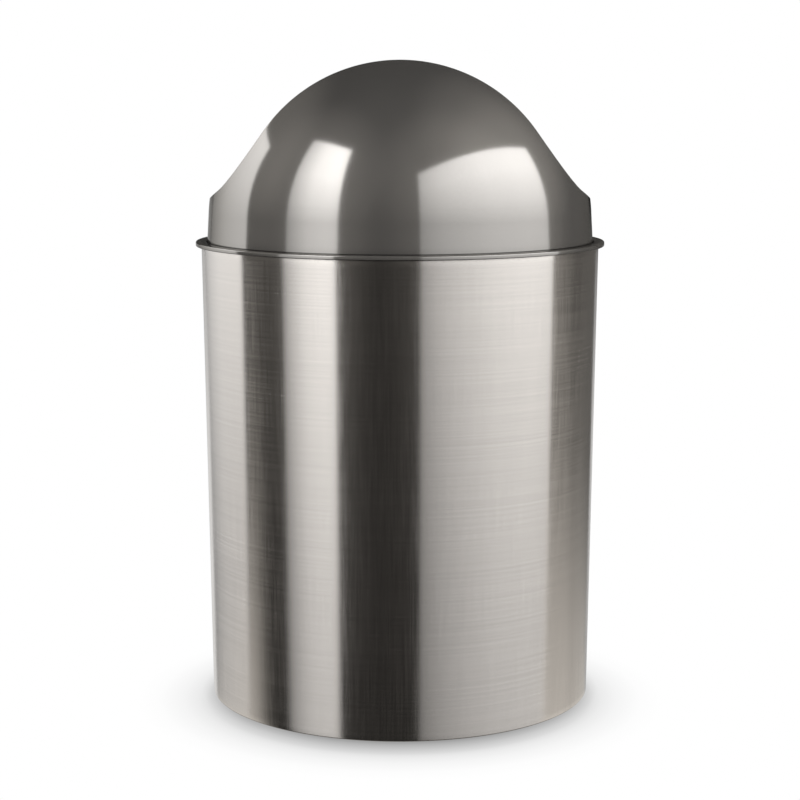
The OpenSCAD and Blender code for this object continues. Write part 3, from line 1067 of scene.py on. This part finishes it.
@dataclass
class Can:
    """The sheet shell with its base plate and foot ring."""

    shop: Workshop
    sheet_t: float = 0.8 * MM
    hem_l: float = 6.0 * MM
    hem_droop: float = 0.2 * MM
    hem_shadow: Point = (0.9 * MM, 0.3)
    top_shadow: Point = (0.5 * MM, 0.15)
    lip_r: float = 0.35 * MM
    taper: float = 3.8 * MM
    end_l: float = 4.0 * MM
    plate_t: float = 1.0 * MM
    plate_steps: int = 160
    slope_w: float = 3.0 * MM
    border_w: float = 4.0 * MM
    bend_r: float = 1.5 * MM
    cut_r: float = 0.2 * MM
    bead_middles: Sequence[float] = (40.0 * MM, 78.0 * MM)
    bead_w: float = 9.0 * MM
    bead_h: float = 0.9 * MM
    bead_points: int = 17
    foot_w: float = 12.0 * MM
    foot_r: float = 0.8 * MM
    treads: int = 4
    tread_border: float = 1.5 * MM
    groove: Sequence[Point] = ((0.7 * MM, 0.0), (0.5 * MM, 0.1 * MM), (0.25 * MM, 0.6 * MM))

    def shell(self) -> None:
        """The tapered sleeve with its rounded hem and eased top edge, with shade painted at both."""
        low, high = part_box("outer_shell")
        sheet, lip, top_r = self.sheet_t, self.lip_r, high.x
        base_r = top_r - self.taper * (1 - low.z / high.z)
        slope = (top_r - base_r) / (high.z - low.z)
        hem_r, hem_z = base_r + slope * self.hem_l, low.z + self.hem_l
        rises = np.linspace(self.end_l, high.z - low.z - self.end_l, FOLD_STEPS)
        outline = [
            *arc((base_r - sheet, low.z + sheet), sheet, 180, 360, FOLD_STEPS),
            *[(base_r + slope * rise, low.z + rise) for rise in rises],
            *arc((top_r - lip, high.z - lip), lip, 0, 90, LIP_STEPS),
            (top_r - sheet, high.z), (hem_r - sheet, hem_z), (hem_r - 2 * sheet, hem_z - self.hem_droop),
        ]
        # Painted shade: a dark band along the hem and a painted shadow at the top edge, under the rim.
        finish = replace(SHELL_FINISH, shadow_bands=((low.z, *self.hem_shadow), (high.z, *self.top_shadow)))
        self.shop.turned_piece("shell", outline, Body.CAN, finish, "outer_shell")

    def plate(self) -> None:
        """The pressed pan with its round stiffening beads."""
        low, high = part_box("base_plate")
        sheet, bend = self.plate_t, self.bend_r
        slope_r = high.x - self.border_w
        floor_r = slope_r - self.slope_w
        top: list[Point] = [(0.0, low.z + sheet)]
        for middle in self.bead_middles:
            for share in np.linspace(-1, 1, self.bead_points):
                lift = self.bead_h * (1 + math.cos(math.pi * share)) / 2
                top.append((middle + share * self.bead_w / 2, low.z + sheet + lift))
        under = [(radius, height - sheet) for radius, height in reversed(top)]
        outer = rounded([
            (0.0, low.z + sheet, 0), (floor_r, low.z + sheet, bend), (slope_r, high.z, bend),
            (high.x, high.z, self.cut_r), (high.x, high.z - sheet, self.cut_r),
            (slope_r, high.z - sheet, bend), (floor_r, low.z, bend), (0.0, low.z, 0),
        ])
        outline = top + outer[1:-1] + under
        self.shop.turned_piece("base_pan", outline, Body.CAN, BASE_FINISH, "base_plate", self.plate_steps)

    def foot(self) -> None:
        """The rubber ring with treads under it."""
        low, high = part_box("foot_ring")
        inner, edge = high.x - self.foot_w, self.foot_r
        pitch = (self.foot_w - 2 * self.tread_border) / self.treads
        groove = [(-r, z) for r, z in self.groove] + list(reversed(self.groove))
        outline = [(inner, high.z), *arc((inner + edge, low.z + edge), edge, 180, 270, EDGE_STEPS)]
        for tread in range(1, self.treads):
            middle = inner + self.tread_border + tread * pitch
            outline += [(middle + r, low.z + z) for r, z in groove]
        outline += [*arc((high.x - edge, low.z + edge), edge, 270, 360, EDGE_STEPS), (high.x, high.z)]
        self.shop.turned_piece("foot", outline, Body.CAN, FOOT_FINISH, "foot_ring")

    def build(self) -> None:
        """Makes the can's pieces."""
        self.shell()
        self.plate()
        self.foot()


@dataclass
class Bucket:
    """The rim ring and the bucket that hangs in it."""

    shop: Workshop
    rim_t: float = 2.6 * MM
    rim_r: float = 0.8 * MM
    rim_corner_r: float = 0.35 * MM
    rim_shadow: Point = (0.45 * MM, 0.12)
    leg_t: float = 1.8 * MM
    seat_t: float = 2.4 * MM
    gap: float = 0.4 * MM
    nook_r: float = 0.2 * MM
    corner_r: float = 0.3 * MM
    edge_r: float = 0.4 * MM
    flange_w: float = 5.5 * MM
    flange_t: float = 2.2 * MM
    flange_radii: Sequence[float] = (0.3 * MM, 0.5 * MM, 0.9 * MM, 1.2 * MM)
    neck_out: float = 4.0 * MM
    neck_in: float = 6.0 * MM
    wall_t: float = 2.0 * MM
    base_t: float = 2.5 * MM
    base_r: float = 100.0 * MM
    base_corner_r: float = 12.0 * MM
    bead_drops: Sequence[float] = (32.0 * MM, 22.0 * MM)
    bead_w: float = 4.0 * MM
    bead_ease: float = 1.0 * MM
    bead_h: float = 0.5 * MM
    ribs: int = 24
    rib_near: Triple = (30.0 * MM, -0.8 * MM, -1.6 * MM)
    rib_far: Triple = (82.0 * MM, 0.8 * MM, 1.0 * MM)
    rib_r: float = 0.4 * MM

    def rim(self) -> None:
        """The rim with its leg and seat."""
        low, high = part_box("rim_ring")
        skirt_low, skirt_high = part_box("dome_hood")
        bore, seat_z = skirt_high.x + self.gap, skirt_low.z
        seat_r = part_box("inner_bucket")[1].x - (self.flange_w - self.gap)
        leg, under, seat_under = bore + self.leg_t, high.z - self.rim_t, seat_z - self.seat_t
        outline = rounded([
            (bore, high.z, self.rim_r), (bore, seat_z, self.nook_r), (seat_r, seat_z, self.edge_r),
            (seat_r, seat_under, self.edge_r), (bore, seat_under, self.corner_r),
            (bore, low.z, self.corner_r), (leg, low.z, self.edge_r), (leg, under, self.corner_r),
            (high.x, under, self.rim_corner_r), (high.x, high.z, self.rim_r),
        ])
        # Painted shade: the collar's contact shadow round the bore and a dark band at the lip's lower edge.
        finish = replace(RIM_FINISH, bore=bore, top=high.z, shadow_bands=((under, *self.rim_shadow),))
        self.shop.turned_piece("rim", outline, Body.BUCKET, finish, "rim_ring")

    def pail(self) -> None:
        """The tapered bucket with its flange, beads and ribs under its base."""
        low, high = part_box("inner_bucket")
        wall, base_r, corner = self.wall_t, self.base_r, self.base_corner_r
        top_r, seat_z = high.x - self.flange_w, high.z - self.flange_t
        wall_h = seat_z - low.z - corner
        slope = (top_r - base_r) / wall_h
        beads = []
        for top in self.bead_drops:
            end, ease, crown = top - self.bead_w, self.bead_ease, self.bead_h
            steps = ((top, 0), (top - ease, crown), (end + ease, crown), (end, 0))
            beads += [(base_r + slope * (wall_h - drop) + out, seat_z - drop) for drop, out in steps]
        inner_z = low.z + self.base_t
        outline = [
            (0.0, low.z), *arc((base_r - corner, low.z + corner), corner, 270, 360, FOLD_STEPS), *beads,
            *rounded([
                (top_r, seat_z - self.neck_out, 0), (top_r, seat_z, self.flange_radii[0]),
                (high.x, seat_z, self.flange_radii[1]), (high.x, high.z, self.flange_radii[2]),
                (top_r - wall, high.z, self.flange_radii[3]), (top_r - wall, seat_z - self.neck_in, 0),
            ]),
            *arc((base_r - corner, inner_z + corner - wall), corner - wall, 360, 270, FOLD_STEPS),
            (0.0, inner_z),
        ]
        under = Vector((0.0, 0.0, low.z))
        rib = bar("rib", under + Vector(self.rib_near), under + Vector(self.rib_far), self.rib_r)
        parts = [
            self.shop.lathe.turn("pail_wall", outline, BUCKET_FINISH),
            self.shop.repeater.repeat(rib, self.ribs, BUCKET_FINISH, turn=math.tau / self.ribs),
        ]
        add_piece("pail", joined("pail_moulded", parts), Body.BUCKET, BUCKET_FINISH, "inner_bucket")

    def build(self) -> None:
        """Makes the bucket's pieces."""
        self.rim()
        self.pail()


@dataclass
class DomeForm:
    """The lid's sphere, mouth, pivots and pegs, shared by the hood, the pivots and the flap."""

    setin: float = 0.85 * MM
    rise: float = 11.0 * MM
    mouth_w: float = 131.4 * MM
    sill_h: float = 15.4 * MM
    corner_r: float = 37.2 * MM
    bow: float = 4.4 * MM
    boss_y: float = 68.0 * MM
    bore_l: float = 10.2 * MM
    peg_y: float = 60.2 * MM
    peg_r: float = 3.0 * MM
    pin_r: float = 2.5 * MM
    fit_gap: float = 0.05 * MM
    steps: int = 30

    def __post_init__(self) -> None:
        """Works the form out from the frame."""
        self.rim_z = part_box("rim_ring")[1].z
        self.skirt_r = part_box("dome_hood")[1].x
        self.radius = self.skirt_r - self.setin
        self.centre_z = self.rim_z + self.rise
        self.half_w = self.mouth_w / 2
        self.sill_z = self.centre_z + self.sill_h
        self.corner_z = self.sill_z + self.bow + self.corner_r
        self.corner_y = self.half_w - self.corner_r
        height = self.corner_z - self.sill_z
        self.sill_r = (self.corner_y**2 + height**2 - self.corner_r**2) / (2 * (height - self.corner_r))
        self.corner_deg = math.degrees(math.atan2(self.sill_r - height, self.corner_y))
        self.edge_r = math.sqrt(self.radius**2 - self.half_w**2)
        self.pivot_z, self.stop_z = (
            sum(corner.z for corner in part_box(node)) / 2 for node in ("pivot_bush_rear", "stop_sleeve_rear")
        )

    def low_outline(self, widened: float) -> list[Point]:
        """Half of the mouth's lower outline, from the sill's middle up to where its side is straight.

        Args:
            widened: distance by which the mouth is widened into the wall.

        Returns:
            Y and Z of each point.
        """
        end, steps = self.corner_deg, self.steps
        sill = arc((0.0, self.sill_z + self.sill_r), self.sill_r + widened, -90, -end, steps)
        return sill + arc((self.corner_y, self.corner_z), self.corner_r + widened, -end, 0, steps)[1:]

    def crest(self, radius: float, side: float, steps: int) -> np.ndarray:
        """The arc of the mouth's edge over the crest.

        Args:
            radius: radius of the arc.
            side: Y of the arc.
            steps: number of equal steps.

        Returns:
            One row of X, Y and Z per point, without the lowest.
        """
        start = math.acos((self.corner_z - self.centre_z) / radius)
        turn = start * (1 - np.linspace(0, 1, steps + 1)[1:])
        height = self.centre_z + radius * np.cos(turn)
        return np.column_stack([radius * np.sin(turn), np.full(steps, side), height])


@dataclass
class Hood:
    """The lid's one moulding, with its collar, two cheeks and the lugs inside them."""

    shop: Workshop
    form: DomeForm
    wall_t: float = 2.0 * MM
    edge_r: float = 0.7 * MM
    skirt_t: float = 2.4 * MM
    skirt_edge_r: float = 0.4 * MM
    seam_shadow: Point = (0.5 * MM, 0.42)
    join_deg: float = 2.4
    join_steps: int = 8
    collar_steps: int = 4
    columns: int = 72
    crest_steps: int = 44
    boss_r: float = 7.0 * MM
    boss_bore_r: float = 4.55 * MM
    lug_edge_r: float = 0.35 * MM
    lug_steps: int = 48
    web_t: float = 3.0 * MM
    web_edge: float = 0.3 * MM
    web_setback: float = 0.5 * MM
    web_rings: int = 25
    sharp_deg: float = 50.0

    def edge_curve(self, depth: float, widened: float) -> np.ndarray:
        """The mouth's edge on one quarter of the sphere, from the sill's middle to the crest.

        Args:
            depth: depth of the sphere below the outer surface.
            widened: distance by which the mouth is widened into the wall.

        Returns:
            One row of X, Y and Z per point, with X and Y positive.
        """
        form = self.form
        radius, side = form.radius - depth, form.half_w + widened
        low = np.array(form.low_outline(widened))
        x = np.sqrt(radius**2 - low[:, 0] ** 2 - (low[:, 1] - form.centre_z) ** 2)
        crest = form.crest(math.sqrt(radius**2 - side**2), side, self.crest_steps)
        return np.vstack([np.column_stack([x, low]), crest])

    def cheek_grid(self, depth: float, widened: float, below: Sequence[Point]) -> np.ndarray:
        """A quarter of the sphere between the mouth's edge and the plane X = 0, with what lies below it.

        Args:
            depth: depth of the sphere below the outer surface.
            widened: distance by which the mouth is widened into the wall.
            below: radius and height of each ring below the sphere's lowest row, downwards.

        Returns:
            Points by row and column; the last column is the edge of the mouth.
        """
        share = np.linspace(0, 1, self.columns + 1)
        rings = [(radius, math.pi / 2, height) for radius, height in reversed(below)]
        rings += [(math.hypot(x, y), math.atan2(x, y), z) for x, y, z in self.edge_curve(depth, widened)]
        rows = []
        for ring, reach, height in rings:
            turn = share * reach
            level = np.full_like(turn, height)
            rows.append(np.column_stack([ring * np.sin(turn), ring * np.cos(turn), level]))
        return np.array(rows)

    def rings_below(self, radius: float) -> list[Point]:
        """Rings of a sphere between the sill's lowest row and the collar's join.

        Args:
            radius: radius of the sphere.

        Returns:
            Radius and height of each ring, downwards.
        """
        form = self.form
        start = math.asin((form.sill_z - self.edge_r - form.centre_z) / radius)
        turns = np.linspace(start, math.radians(self.join_deg), self.join_steps + 1)[1:]
        return [(radius * math.cos(t), form.centre_z + radius * math.sin(t)) for t in turns]

    def wall(self) -> Mesh:
        """The wall of the moulding, mirrored from its quarter.

        Returns:
            The closed mesh of the wall.
        """
        form, wall, edge, soft = self.form, self.wall_t, self.edge_r, self.skirt_edge_r
        low_z, skirt_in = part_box("dome_hood")[0].z, form.skirt_r - self.skirt_t
        outside = self.rings_below(form.radius)
        joins = [outside[-1], (form.skirt_r, form.rim_z)]
        outside += [tuple(p) for p in np.linspace(*joins, self.collar_steps + 1)[1:]]
        outside.append((form.skirt_r, (form.rim_z + low_z) / 2))
        outside += arc((form.skirt_r - soft, low_z + soft), soft, 0, -90, LIP_STEPS)
        inside = self.rings_below(form.radius - wall)
        inside += [(skirt_in, form.rim_z), (skirt_in, low_z + soft), (skirt_in + soft, low_z)]
        outer, inner = self.cheek_grid(0.0, edge, outside), self.cheek_grid(wall, edge, inside)
        curves = [self.edge_curve(*step) for step in rounded_edge(0.0, wall, 0.0, edge)]
        patches = Patchwork()
        for block in (outer, inner, np.array(curves), np.array([outer[0], inner[0]])):
            patches.grid(block)
        return patches.mirrored("dome_hood_wall")

    def wall_y(self, x: float, z: float) -> float:
        """Distance along Y at which a line meets the middle of the cheek's wall."""
        radius = self.form.radius - self.wall_t / 2
        return math.sqrt(max(radius**2 - x**2 - (z - self.form.centre_z) ** 2, 0.0))

    def rod(self, name: str, height: float, profile: Sequence[tuple[float, float | None]]) -> Mesh:
        """A round lug along Y.

        Args:
            name: name of the mesh.
            height: height of its axis.
            profile: radius and Y of each ring, where None stands for the middle of the wall.

        Returns:
            The closed mesh of the lug at the rear.
        """
        turns = np.radians(np.linspace(0, 360, self.lug_steps, endpoint=False))
        rings = []
        for radius, y in profile:
            spots = [(radius * math.cos(t), height + radius * math.sin(t)) for t in turns]
            rings.append([(x, self.wall_y(x, z) if y is None else y, z) for x, z in spots])
        return skinned(name, rings, capped=False)

    def web(self) -> Mesh:
        """The web that joins the boss and the stop peg to the cheek.

        Returns:
            The closed mesh of the web at the rear.
        """
        form, half, soft = self.form, self.web_t / 2, self.web_edge
        front = form.boss_y + self.web_setback
        low = form.stop_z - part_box("stop_sleeve_rear")[1].x
        rings = []
        for z in np.linspace(low, form.pivot_z, self.web_rings):
            back = self.wall_y(half, z)
            flank = ((half - soft, front), (half, front + soft), (half, back))
            rings.append([(-x, y, z) for x, y in reversed(flank)] + [(x, y, z) for x, y in flank])
        return skinned("web", rings)

    def lugs(self) -> list[Mesh]:
        """Boss, stop peg and web, at the rear and at the front.

        Returns:
            The meshes, in place.
        """
        form, soft = self.form, self.lug_edge_r
        face, deep, tip = form.boss_y, form.boss_y + form.bore_l, form.peg_y
        boss, bore, peg = self.boss_r, self.boss_bore_r, form.peg_r
        made = []
        for side in (Side.REAR, Side.FRONT):
            trio = [
                self.rod("boss", form.pivot_z, [
                    (0.0, deep), (bore, deep), (bore, face + soft), (bore + soft / 2, face),
                    (boss - soft, face), (boss, face + soft), (boss, None), (0.0, None),
                ]),
                self.rod("peg", form.stop_z, [
                    (0.0, tip), (peg - soft, tip), (peg, tip + soft), (peg, deep), (0.0, deep),
                ]),
                self.web(),
            ]
            for part in trio:
                part.transform(side.half_turn())
            made += trio
        return made

    def build(self) -> None:
        """Makes the hood."""
        mesh = joined("dome_hood_moulding", [self.wall(), *self.lugs()])
        # Painted shade: a dark band on the collar at the rim, standing in for the gap's shadow.
        finish = replace(LID_FINISH, name="hood_nickel", shadow_bands=((self.form.rim_z, *self.seam_shadow),))
        add_piece("hood", mesh, Body.LID, finish, "dome_hood", self.sharp_deg)


def across(side: Side, height: float) -> Matrix:
    """Lays a turned shape along Y at a height, with its own Z outwards from the axis."""
    return Matrix.Translation((0.0, 0.0, height)) @ side.half_turn() @ Matrix.Rotation(-math.pi / 2, 4, "X")


@dataclass
class Pivots:
    """Bushes, stop sleeves, pins, clips and washers at both ends of the pivot line."""

    shop: Workshop
    form: DomeForm
    run_gap: float = 0.06 * MM
    bush_r: float = 4.5 * MM
    groove: float = 0.6 * MM
    head_t: float = 1.6 * MM
    edge_r: float = 0.25 * MM
    corner_steps: int = 4
    turn_steps: int = 64
    clip_steps: int = 48
    gape_share: float = 0.9
    waist_share: float = 0.16
    lobes: int = 3

    def turned(
        self, kind: str, side: Side, height: float, corners: Sequence[Triple], body: Body, finish: Finish,
    ) -> None:
        """Adds a turned piece along Y.

        Args:
            kind: name of the piece and of its node, without the side.
            side: front or rear.
            height: height of its axis.
            corners: radius, distance along Y and corner radius of each corner.
            body: the body that it rides on.
            finish: its finish.
        """
        node = f"{kind}_{side.name.lower()}"
        outline = rounded(corners, self.corner_steps)
        mesh = self.shop.lathe.turn(node + "_turned", outline, finish, self.turn_steps)
        mesh.transform(across(side, height))
        add_piece(node + "_fitted", mesh, body, finish, node)

    def span(self, node: str) -> Triple:
        """Near end, far end and radius of a node at the rear."""
        low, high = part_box(node + "_rear")
        return low.y, high.y, high.x

    def clip(self, side: Side) -> None:
        """Adds the open spring clip in the pin's groove.

        Args:
            side: front or rear.
        """
        near, far, radius = self.span("pin_clip")
        inner = self.form.pin_r - self.groove + self.form.fit_gap
        gape = math.degrees(math.asin(self.gape_share))
        rings = []
        for turn in np.radians(np.linspace(-90 + gape / 2, 270 - gape / 2, self.clip_steps + 1)):
            swell = 1.0 - self.waist_share * (1 + math.cos(self.lobes * (turn - math.pi / 2))) / 2
            section = ((inner, near), (radius * swell, near), (radius * swell, far), (inner, far))
            rings.append([(r * math.cos(turn), y, r * math.sin(turn)) for r, y in section])
        mesh = skinned("clip", rings)
        mesh.transform(Matrix.Translation((0.0, 0.0, self.form.pivot_z)) @ side.half_turn())
        node = f"pin_clip_{side.name.lower()}"
        add_piece(node + "_fitted", mesh, Body.FLAP, SPRING_FINISH, node)

    def build(self) -> None:
        """Makes the pieces at both ends."""
        form, edge, bush_r = self.form, self.edge_r, self.bush_r
        pin, boss_y, pivot_z, snug = form.pin_r, form.boss_y, form.pivot_z, form.fit_gap
        for side in Side:
            near, far, flange = self.span("pivot_bush")
            run = pin + self.run_gap
            self.turned("pivot_bush", side, pivot_z, [
                (run, near, edge), (flange, near, edge), (flange, boss_y, edge / 2), (bush_r, boss_y, 0),
                (bush_r, far, 2 * edge), (run, far, edge),
            ], Body.LID, NYLON_FINISH)
            near, far, sleeve = self.span("stop_sleeve")
            peg = form.peg_r + snug
            self.turned("stop_sleeve", side, form.stop_z, [
                (peg, near, edge), (sleeve, near, 2 * edge), (sleeve, far, 2 * edge), (peg, far, edge),
            ], Body.LID, STOP_FINISH)
            near, far, head = self.span("pivot_pin")
            clip_near, clip_far, _ = self.span("pin_clip")
            shoulder, groove = near + self.head_t, pin - self.groove
            self.turned("pivot_pin", side, pivot_z, [
                (0.0, near, 0), (head, near, 2 * edge), (head, shoulder, edge), (pin, shoulder, 0),
                (pin, clip_near - snug, 0), (groove, clip_near - snug, 0),
                (groove, clip_far + snug, 0), (pin, clip_far + snug, 0),
                (pin, far, 2 * edge), (0.0, far, 0),
            ], Body.FLAP, PIN_FINISH)
            near, far, washer = self.span("thrust_washer")
            fit = pin + snug
            self.turned("thrust_washer", side, pivot_z, [
                (fit, near, edge / 2), (washer, near, edge), (washer, far, edge), (fit, far, edge / 2),
            ], Body.FLAP, NYLON_FINISH)
            self.clip(side)


@dataclass
class Flap:
    """The swing flap: its panel with flared tongues and ears, its weights and their screws."""

    shop: Workshop
    form: DomeForm
    recess: float = 2.2 * MM
    sheet_t: float = 2.0 * MM
    gap: float = 1.0 * MM
    edge_r: float = 0.6 * MM
    flare_r: float = 155.0 * MM
    flare_deg: float = 57.0
    columns: int = 28
    crest_steps: int = 40
    ear_drop: float = 19.0 * MM
    ear_edge: float = 0.3 * MM
    ear_steps: int = 60
    boss_r: float = 5.5 * MM
    boss_l: float = 6.0 * MM
    boss_bore_edge: float = 0.2 * MM
    boss_edge: float = 0.5 * MM
    boss_flare: float = 1.2 * MM
    boss_root: float = 0.3 * MM
    boss_steps: int = 64
    weight_rise: float = 12.0 * MM
    weight_h: float = 10.0 * MM
    weight_l: float = 60.0 * MM
    weight_t: float = 5.0 * MM
    weight_edge: float = 0.7 * MM
    lug_r: float = 3.5 * MM
    lug_h: float = 4.0 * MM
    lug_edge: float = 0.2 * MM
    lug_foot_w: float = 1.6 * MM
    lug_foot_h: float = 1.4 * MM
    lug_foot_r: float = 1.0 * MM
    lug_root: float = 1.0 * MM
    screw_pitch: float = 40.0 * MM
    screw_r: float = 1.3 * MM
    screw_steps: int = 48
    head_r: float = 2.8 * MM
    head_h: float = 1.9 * MM
    head_edges: Point = (0.2 * MM, 0.9 * MM)
    bite: float = 3.4 * MM
    tip_l: float = 0.6 * MM
    tip_share: float = 0.6
    slot_w: float = 0.8 * MM
    slot_share: float = 0.5
    slot_edge: float = 0.05 * MM
    sharp_deg: float = 50.0

    def __post_init__(self) -> None:
        """Works out the flare and the weights' places."""
        form, flare = self.form, math.radians(self.flare_deg)
        reach = form.edge_r + self.flare_r
        self.flare_x, self.flare_z = reach * math.sin(flare), reach * math.cos(flare)
        self.half_w = form.half_w - self.gap
        self.tongue_r = self.flare_r + self.recess + self.sheet_t
        drop = self.flare_z - (form.sill_h + self.weight_rise)
        self.weight_turn = math.acos(drop / self.tongue_r)

    def edge_curve(self, depth: float, inset: float) -> np.ndarray:
        """The flap's edge on one quarter, from the sill's middle to the crest.

        Args:
            depth: depth of the surface below the cheeks' edges.
            inset: distance by which the outline is drawn in from the mouth's.

        Returns:
            One row of X, Y and Z per point, with X and Y positive.
        """
        form = self.form
        radius = form.edge_r - depth
        low = np.array(form.low_outline(-inset))
        height = low[:, 1] - form.centre_z
        on_arc = height >= radius * math.cos(math.radians(self.flare_deg))
        round_x = np.sqrt(np.maximum(radius**2 - height**2, 0.0))
        flared_x = self.flare_x - np.sqrt((self.flare_r + depth) ** 2 - (self.flare_z - height) ** 2)
        first = np.column_stack([np.where(on_arc, round_x, flared_x), low])
        return np.vstack([first, form.crest(radius, form.half_w - inset, self.crest_steps)])

    def sheet_grid(self, depth: float, inset: float) -> np.ndarray:
        """A quarter of one face of the panel.

        Args:
            depth: depth of the face below the cheeks' edges.
            inset: distance by which it is drawn in from the mouth's outline.

        Returns:
            Points by row and column; the last column is its edge.
        """
        share = np.linspace(0, 1, self.columns + 1)
        return np.array([np.column_stack([np.full_like(share, x), share * y, np.full_like(share, z)])
                         for x, y, z in self.edge_curve(depth, inset)])

    def panel(self) -> Mesh:
        """The panel's sheet, mirrored from its quarter.

        Returns:
            The closed mesh of the sheet.
        """
        gap, edge, top, bottom = self.gap, self.edge_r, self.recess, self.recess + self.sheet_t
        curves = [self.edge_curve(*step) for step in rounded_edge(top, bottom, gap, edge)]
        sheets = [self.sheet_grid(depth, gap + edge) for depth in (top, bottom)]
        patches = Patchwork()
        for block in (*sheets, np.array(curves)):
            patches.grid(block)
        return patches.mirrored("flap_panel_sheet")

    def ears(self) -> list[Mesh]:
        """The ears with their bosses, at the rear and at the front.

        Returns:
            The meshes, in place.
        """
        form, edge = self.form, self.ear_edge
        radius = form.edge_r - (self.recess + self.sheet_t / 2)
        start = math.degrees(math.asin((form.pivot_z - self.ear_drop - form.centre_z) / radius))
        outline = arc((0.0, form.centre_z), radius, start, 180 - start, self.ear_steps)
        inner, bore = self.half_w - self.sheet_t, form.pin_r + form.fit_gap
        levels = (
            (drawn_in(outline, edge), inner), (outline, inner + edge),
            (outline, self.half_w - edge), (drawn_in(outline, edge), self.half_w),
        )
        flared, tip, root = self.boss_r + self.boss_flare, inner - self.boss_l, inner + self.boss_root
        corners = [
            (bore, tip, self.boss_bore_edge), (self.boss_r, tip, self.boss_edge),
            (self.boss_r, inner - self.boss_flare, 0), (flared, root, 0), (bore, root, 0),
        ]
        made = []
        for side in Side:
            rings = [[(x, side.value * y, z) for x, z in level] for level, y in levels]
            boss = self.shop.lathe.turn("ear_boss", rounded(corners), LID_FINISH, self.boss_steps)
            boss.transform(across(side, form.pivot_z))
            made += [skinned("ear", rings), boss]
        return made

    def at_weight(self, sign: int) -> Matrix:
        """Places a shape at the right (1) or left (-1) weight, with Z pointing in through the tongue."""
        place = Matrix.Translation((sign * self.flare_x, 0.0, self.form.centre_z + self.flare_z))
        return place @ Matrix.Rotation(sign * (math.pi + self.weight_turn), 4, "Y")

    def pair(self, shape: Mesh, finish: Finish, sign: int) -> Mesh:
        """A shape at both screws of one weight.

        Args:
            shape: the mesh, upright on the axis, which is used up.
            finish: its finish.
            sign: 1 on the right and -1 on the left.

        Returns:
            The mesh of the two, in place.
        """
        shape.transform(Matrix.Translation((0.0, -self.screw_pitch / 2, 0.0)))
        both = self.shop.repeater.repeat(shape, 2, finish, pitch=self.screw_pitch)
        both.transform(self.at_weight(sign))
        return both

    def lug(self) -> Mesh:
        """One of the bosses that carry the weights.

        Returns:
            The mesh, upright on the axis.
        """
        radius, top, root = self.lug_r, self.tongue_r + self.lug_h, self.tongue_r - self.lug_root
        foot = radius + self.lug_foot_w
        outline = rounded([
            (0.0, root, 0), (foot, root, 0), (foot, self.tongue_r, 0),
            (radius, self.tongue_r + self.lug_foot_h, self.lug_foot_r), (radius, top, self.lug_edge),
            (0.0, top, 0),
        ])
        return self.shop.lathe.turn("weight_boss", outline, LID_FINISH, self.screw_steps)

    def screw(self) -> Mesh:
        """One slotted pan-head screw through a weight.

        Returns:
            The mesh, upright on the axis.
        """
        shank, head = self.screw_r, self.head_r
        seat = self.tongue_r + self.lug_h
        start, under = seat - self.bite, seat + self.weight_t
        top = under + self.head_h
        outline = rounded([
            (0.0, start, 0), (shank * self.tip_share, start, 0), (shank, start + self.tip_l, 0),
            (shank, under, 0), (head, under, self.head_edges[0]), (head, top, self.head_edges[1]),
            (0.0, top, 0),
        ])
        slot_low = (-2 * head, -self.slot_w / 2, under + self.head_h * self.slot_share)
        slot_high = (2 * head, self.slot_w / 2, top + self.head_h)
        body = set_out("screw", self.shop.lathe.turn("screw", outline, PIN_FINISH, self.screw_steps))
        cutter = set_out("slot", bar("slot", slot_low, slot_high, self.slot_edge))
        cut = body.modifiers.new("slot", "BOOLEAN")
        cut.operation, cut.solver, cut.object = "DIFFERENCE", "EXACT", cutter
        made = evaluated(body)
        for item in (body, cutter):
            bpy.data.objects.remove(item)
        close(made)
        return made

    def weights(self) -> None:
        """The bars and their screws, on the right and on the left."""
        height, length, under = self.weight_h, self.weight_l, self.tongue_r + self.lug_h
        low, high = (-height / 2, -length / 2, under), (height / 2, length / 2, under + self.weight_t)
        for sign, name in ((1, "right"), (-1, "left")):
            weight = bar("weight", low, high, self.weight_edge)
            weight.transform(self.at_weight(sign))
            add_piece(f"weight_bar_{name}", weight, Body.FLAP, WEIGHT_FINISH, f"flap_weight_{name}")
            screws = self.pair(self.screw(), PIN_FINISH, sign)
            add_piece(f"screws_{name}", screws, Body.FLAP, PIN_FINISH, f"weight_screws_{name}")

    def build(self) -> None:
        """Makes the flap's pieces."""
        lugs = [self.pair(self.lug(), LID_FINISH, sign) for sign in (1, -1)]
        mesh = joined("flap_moulding", [self.panel(), *self.ears(), *lugs])
        add_piece("flap", mesh, Body.FLAP, LID_FINISH, "flap_panel", self.sharp_deg)
        self.weights()


def main() -> None:
    """Builds the studio and the receptacle."""
    logging.basicConfig(level=logging.INFO, format="%(message)s")
    Studio().build()
    shop, form = Workshop(), DomeForm()
    for assembly in (Can(shop), Bucket(shop), Hood(shop, form), Pivots(shop, form), Flap(shop, form)):
        LOG.info("building %s", type(assembly).__name__)
        assembly.build()


if __name__ == "__main__":
    main()
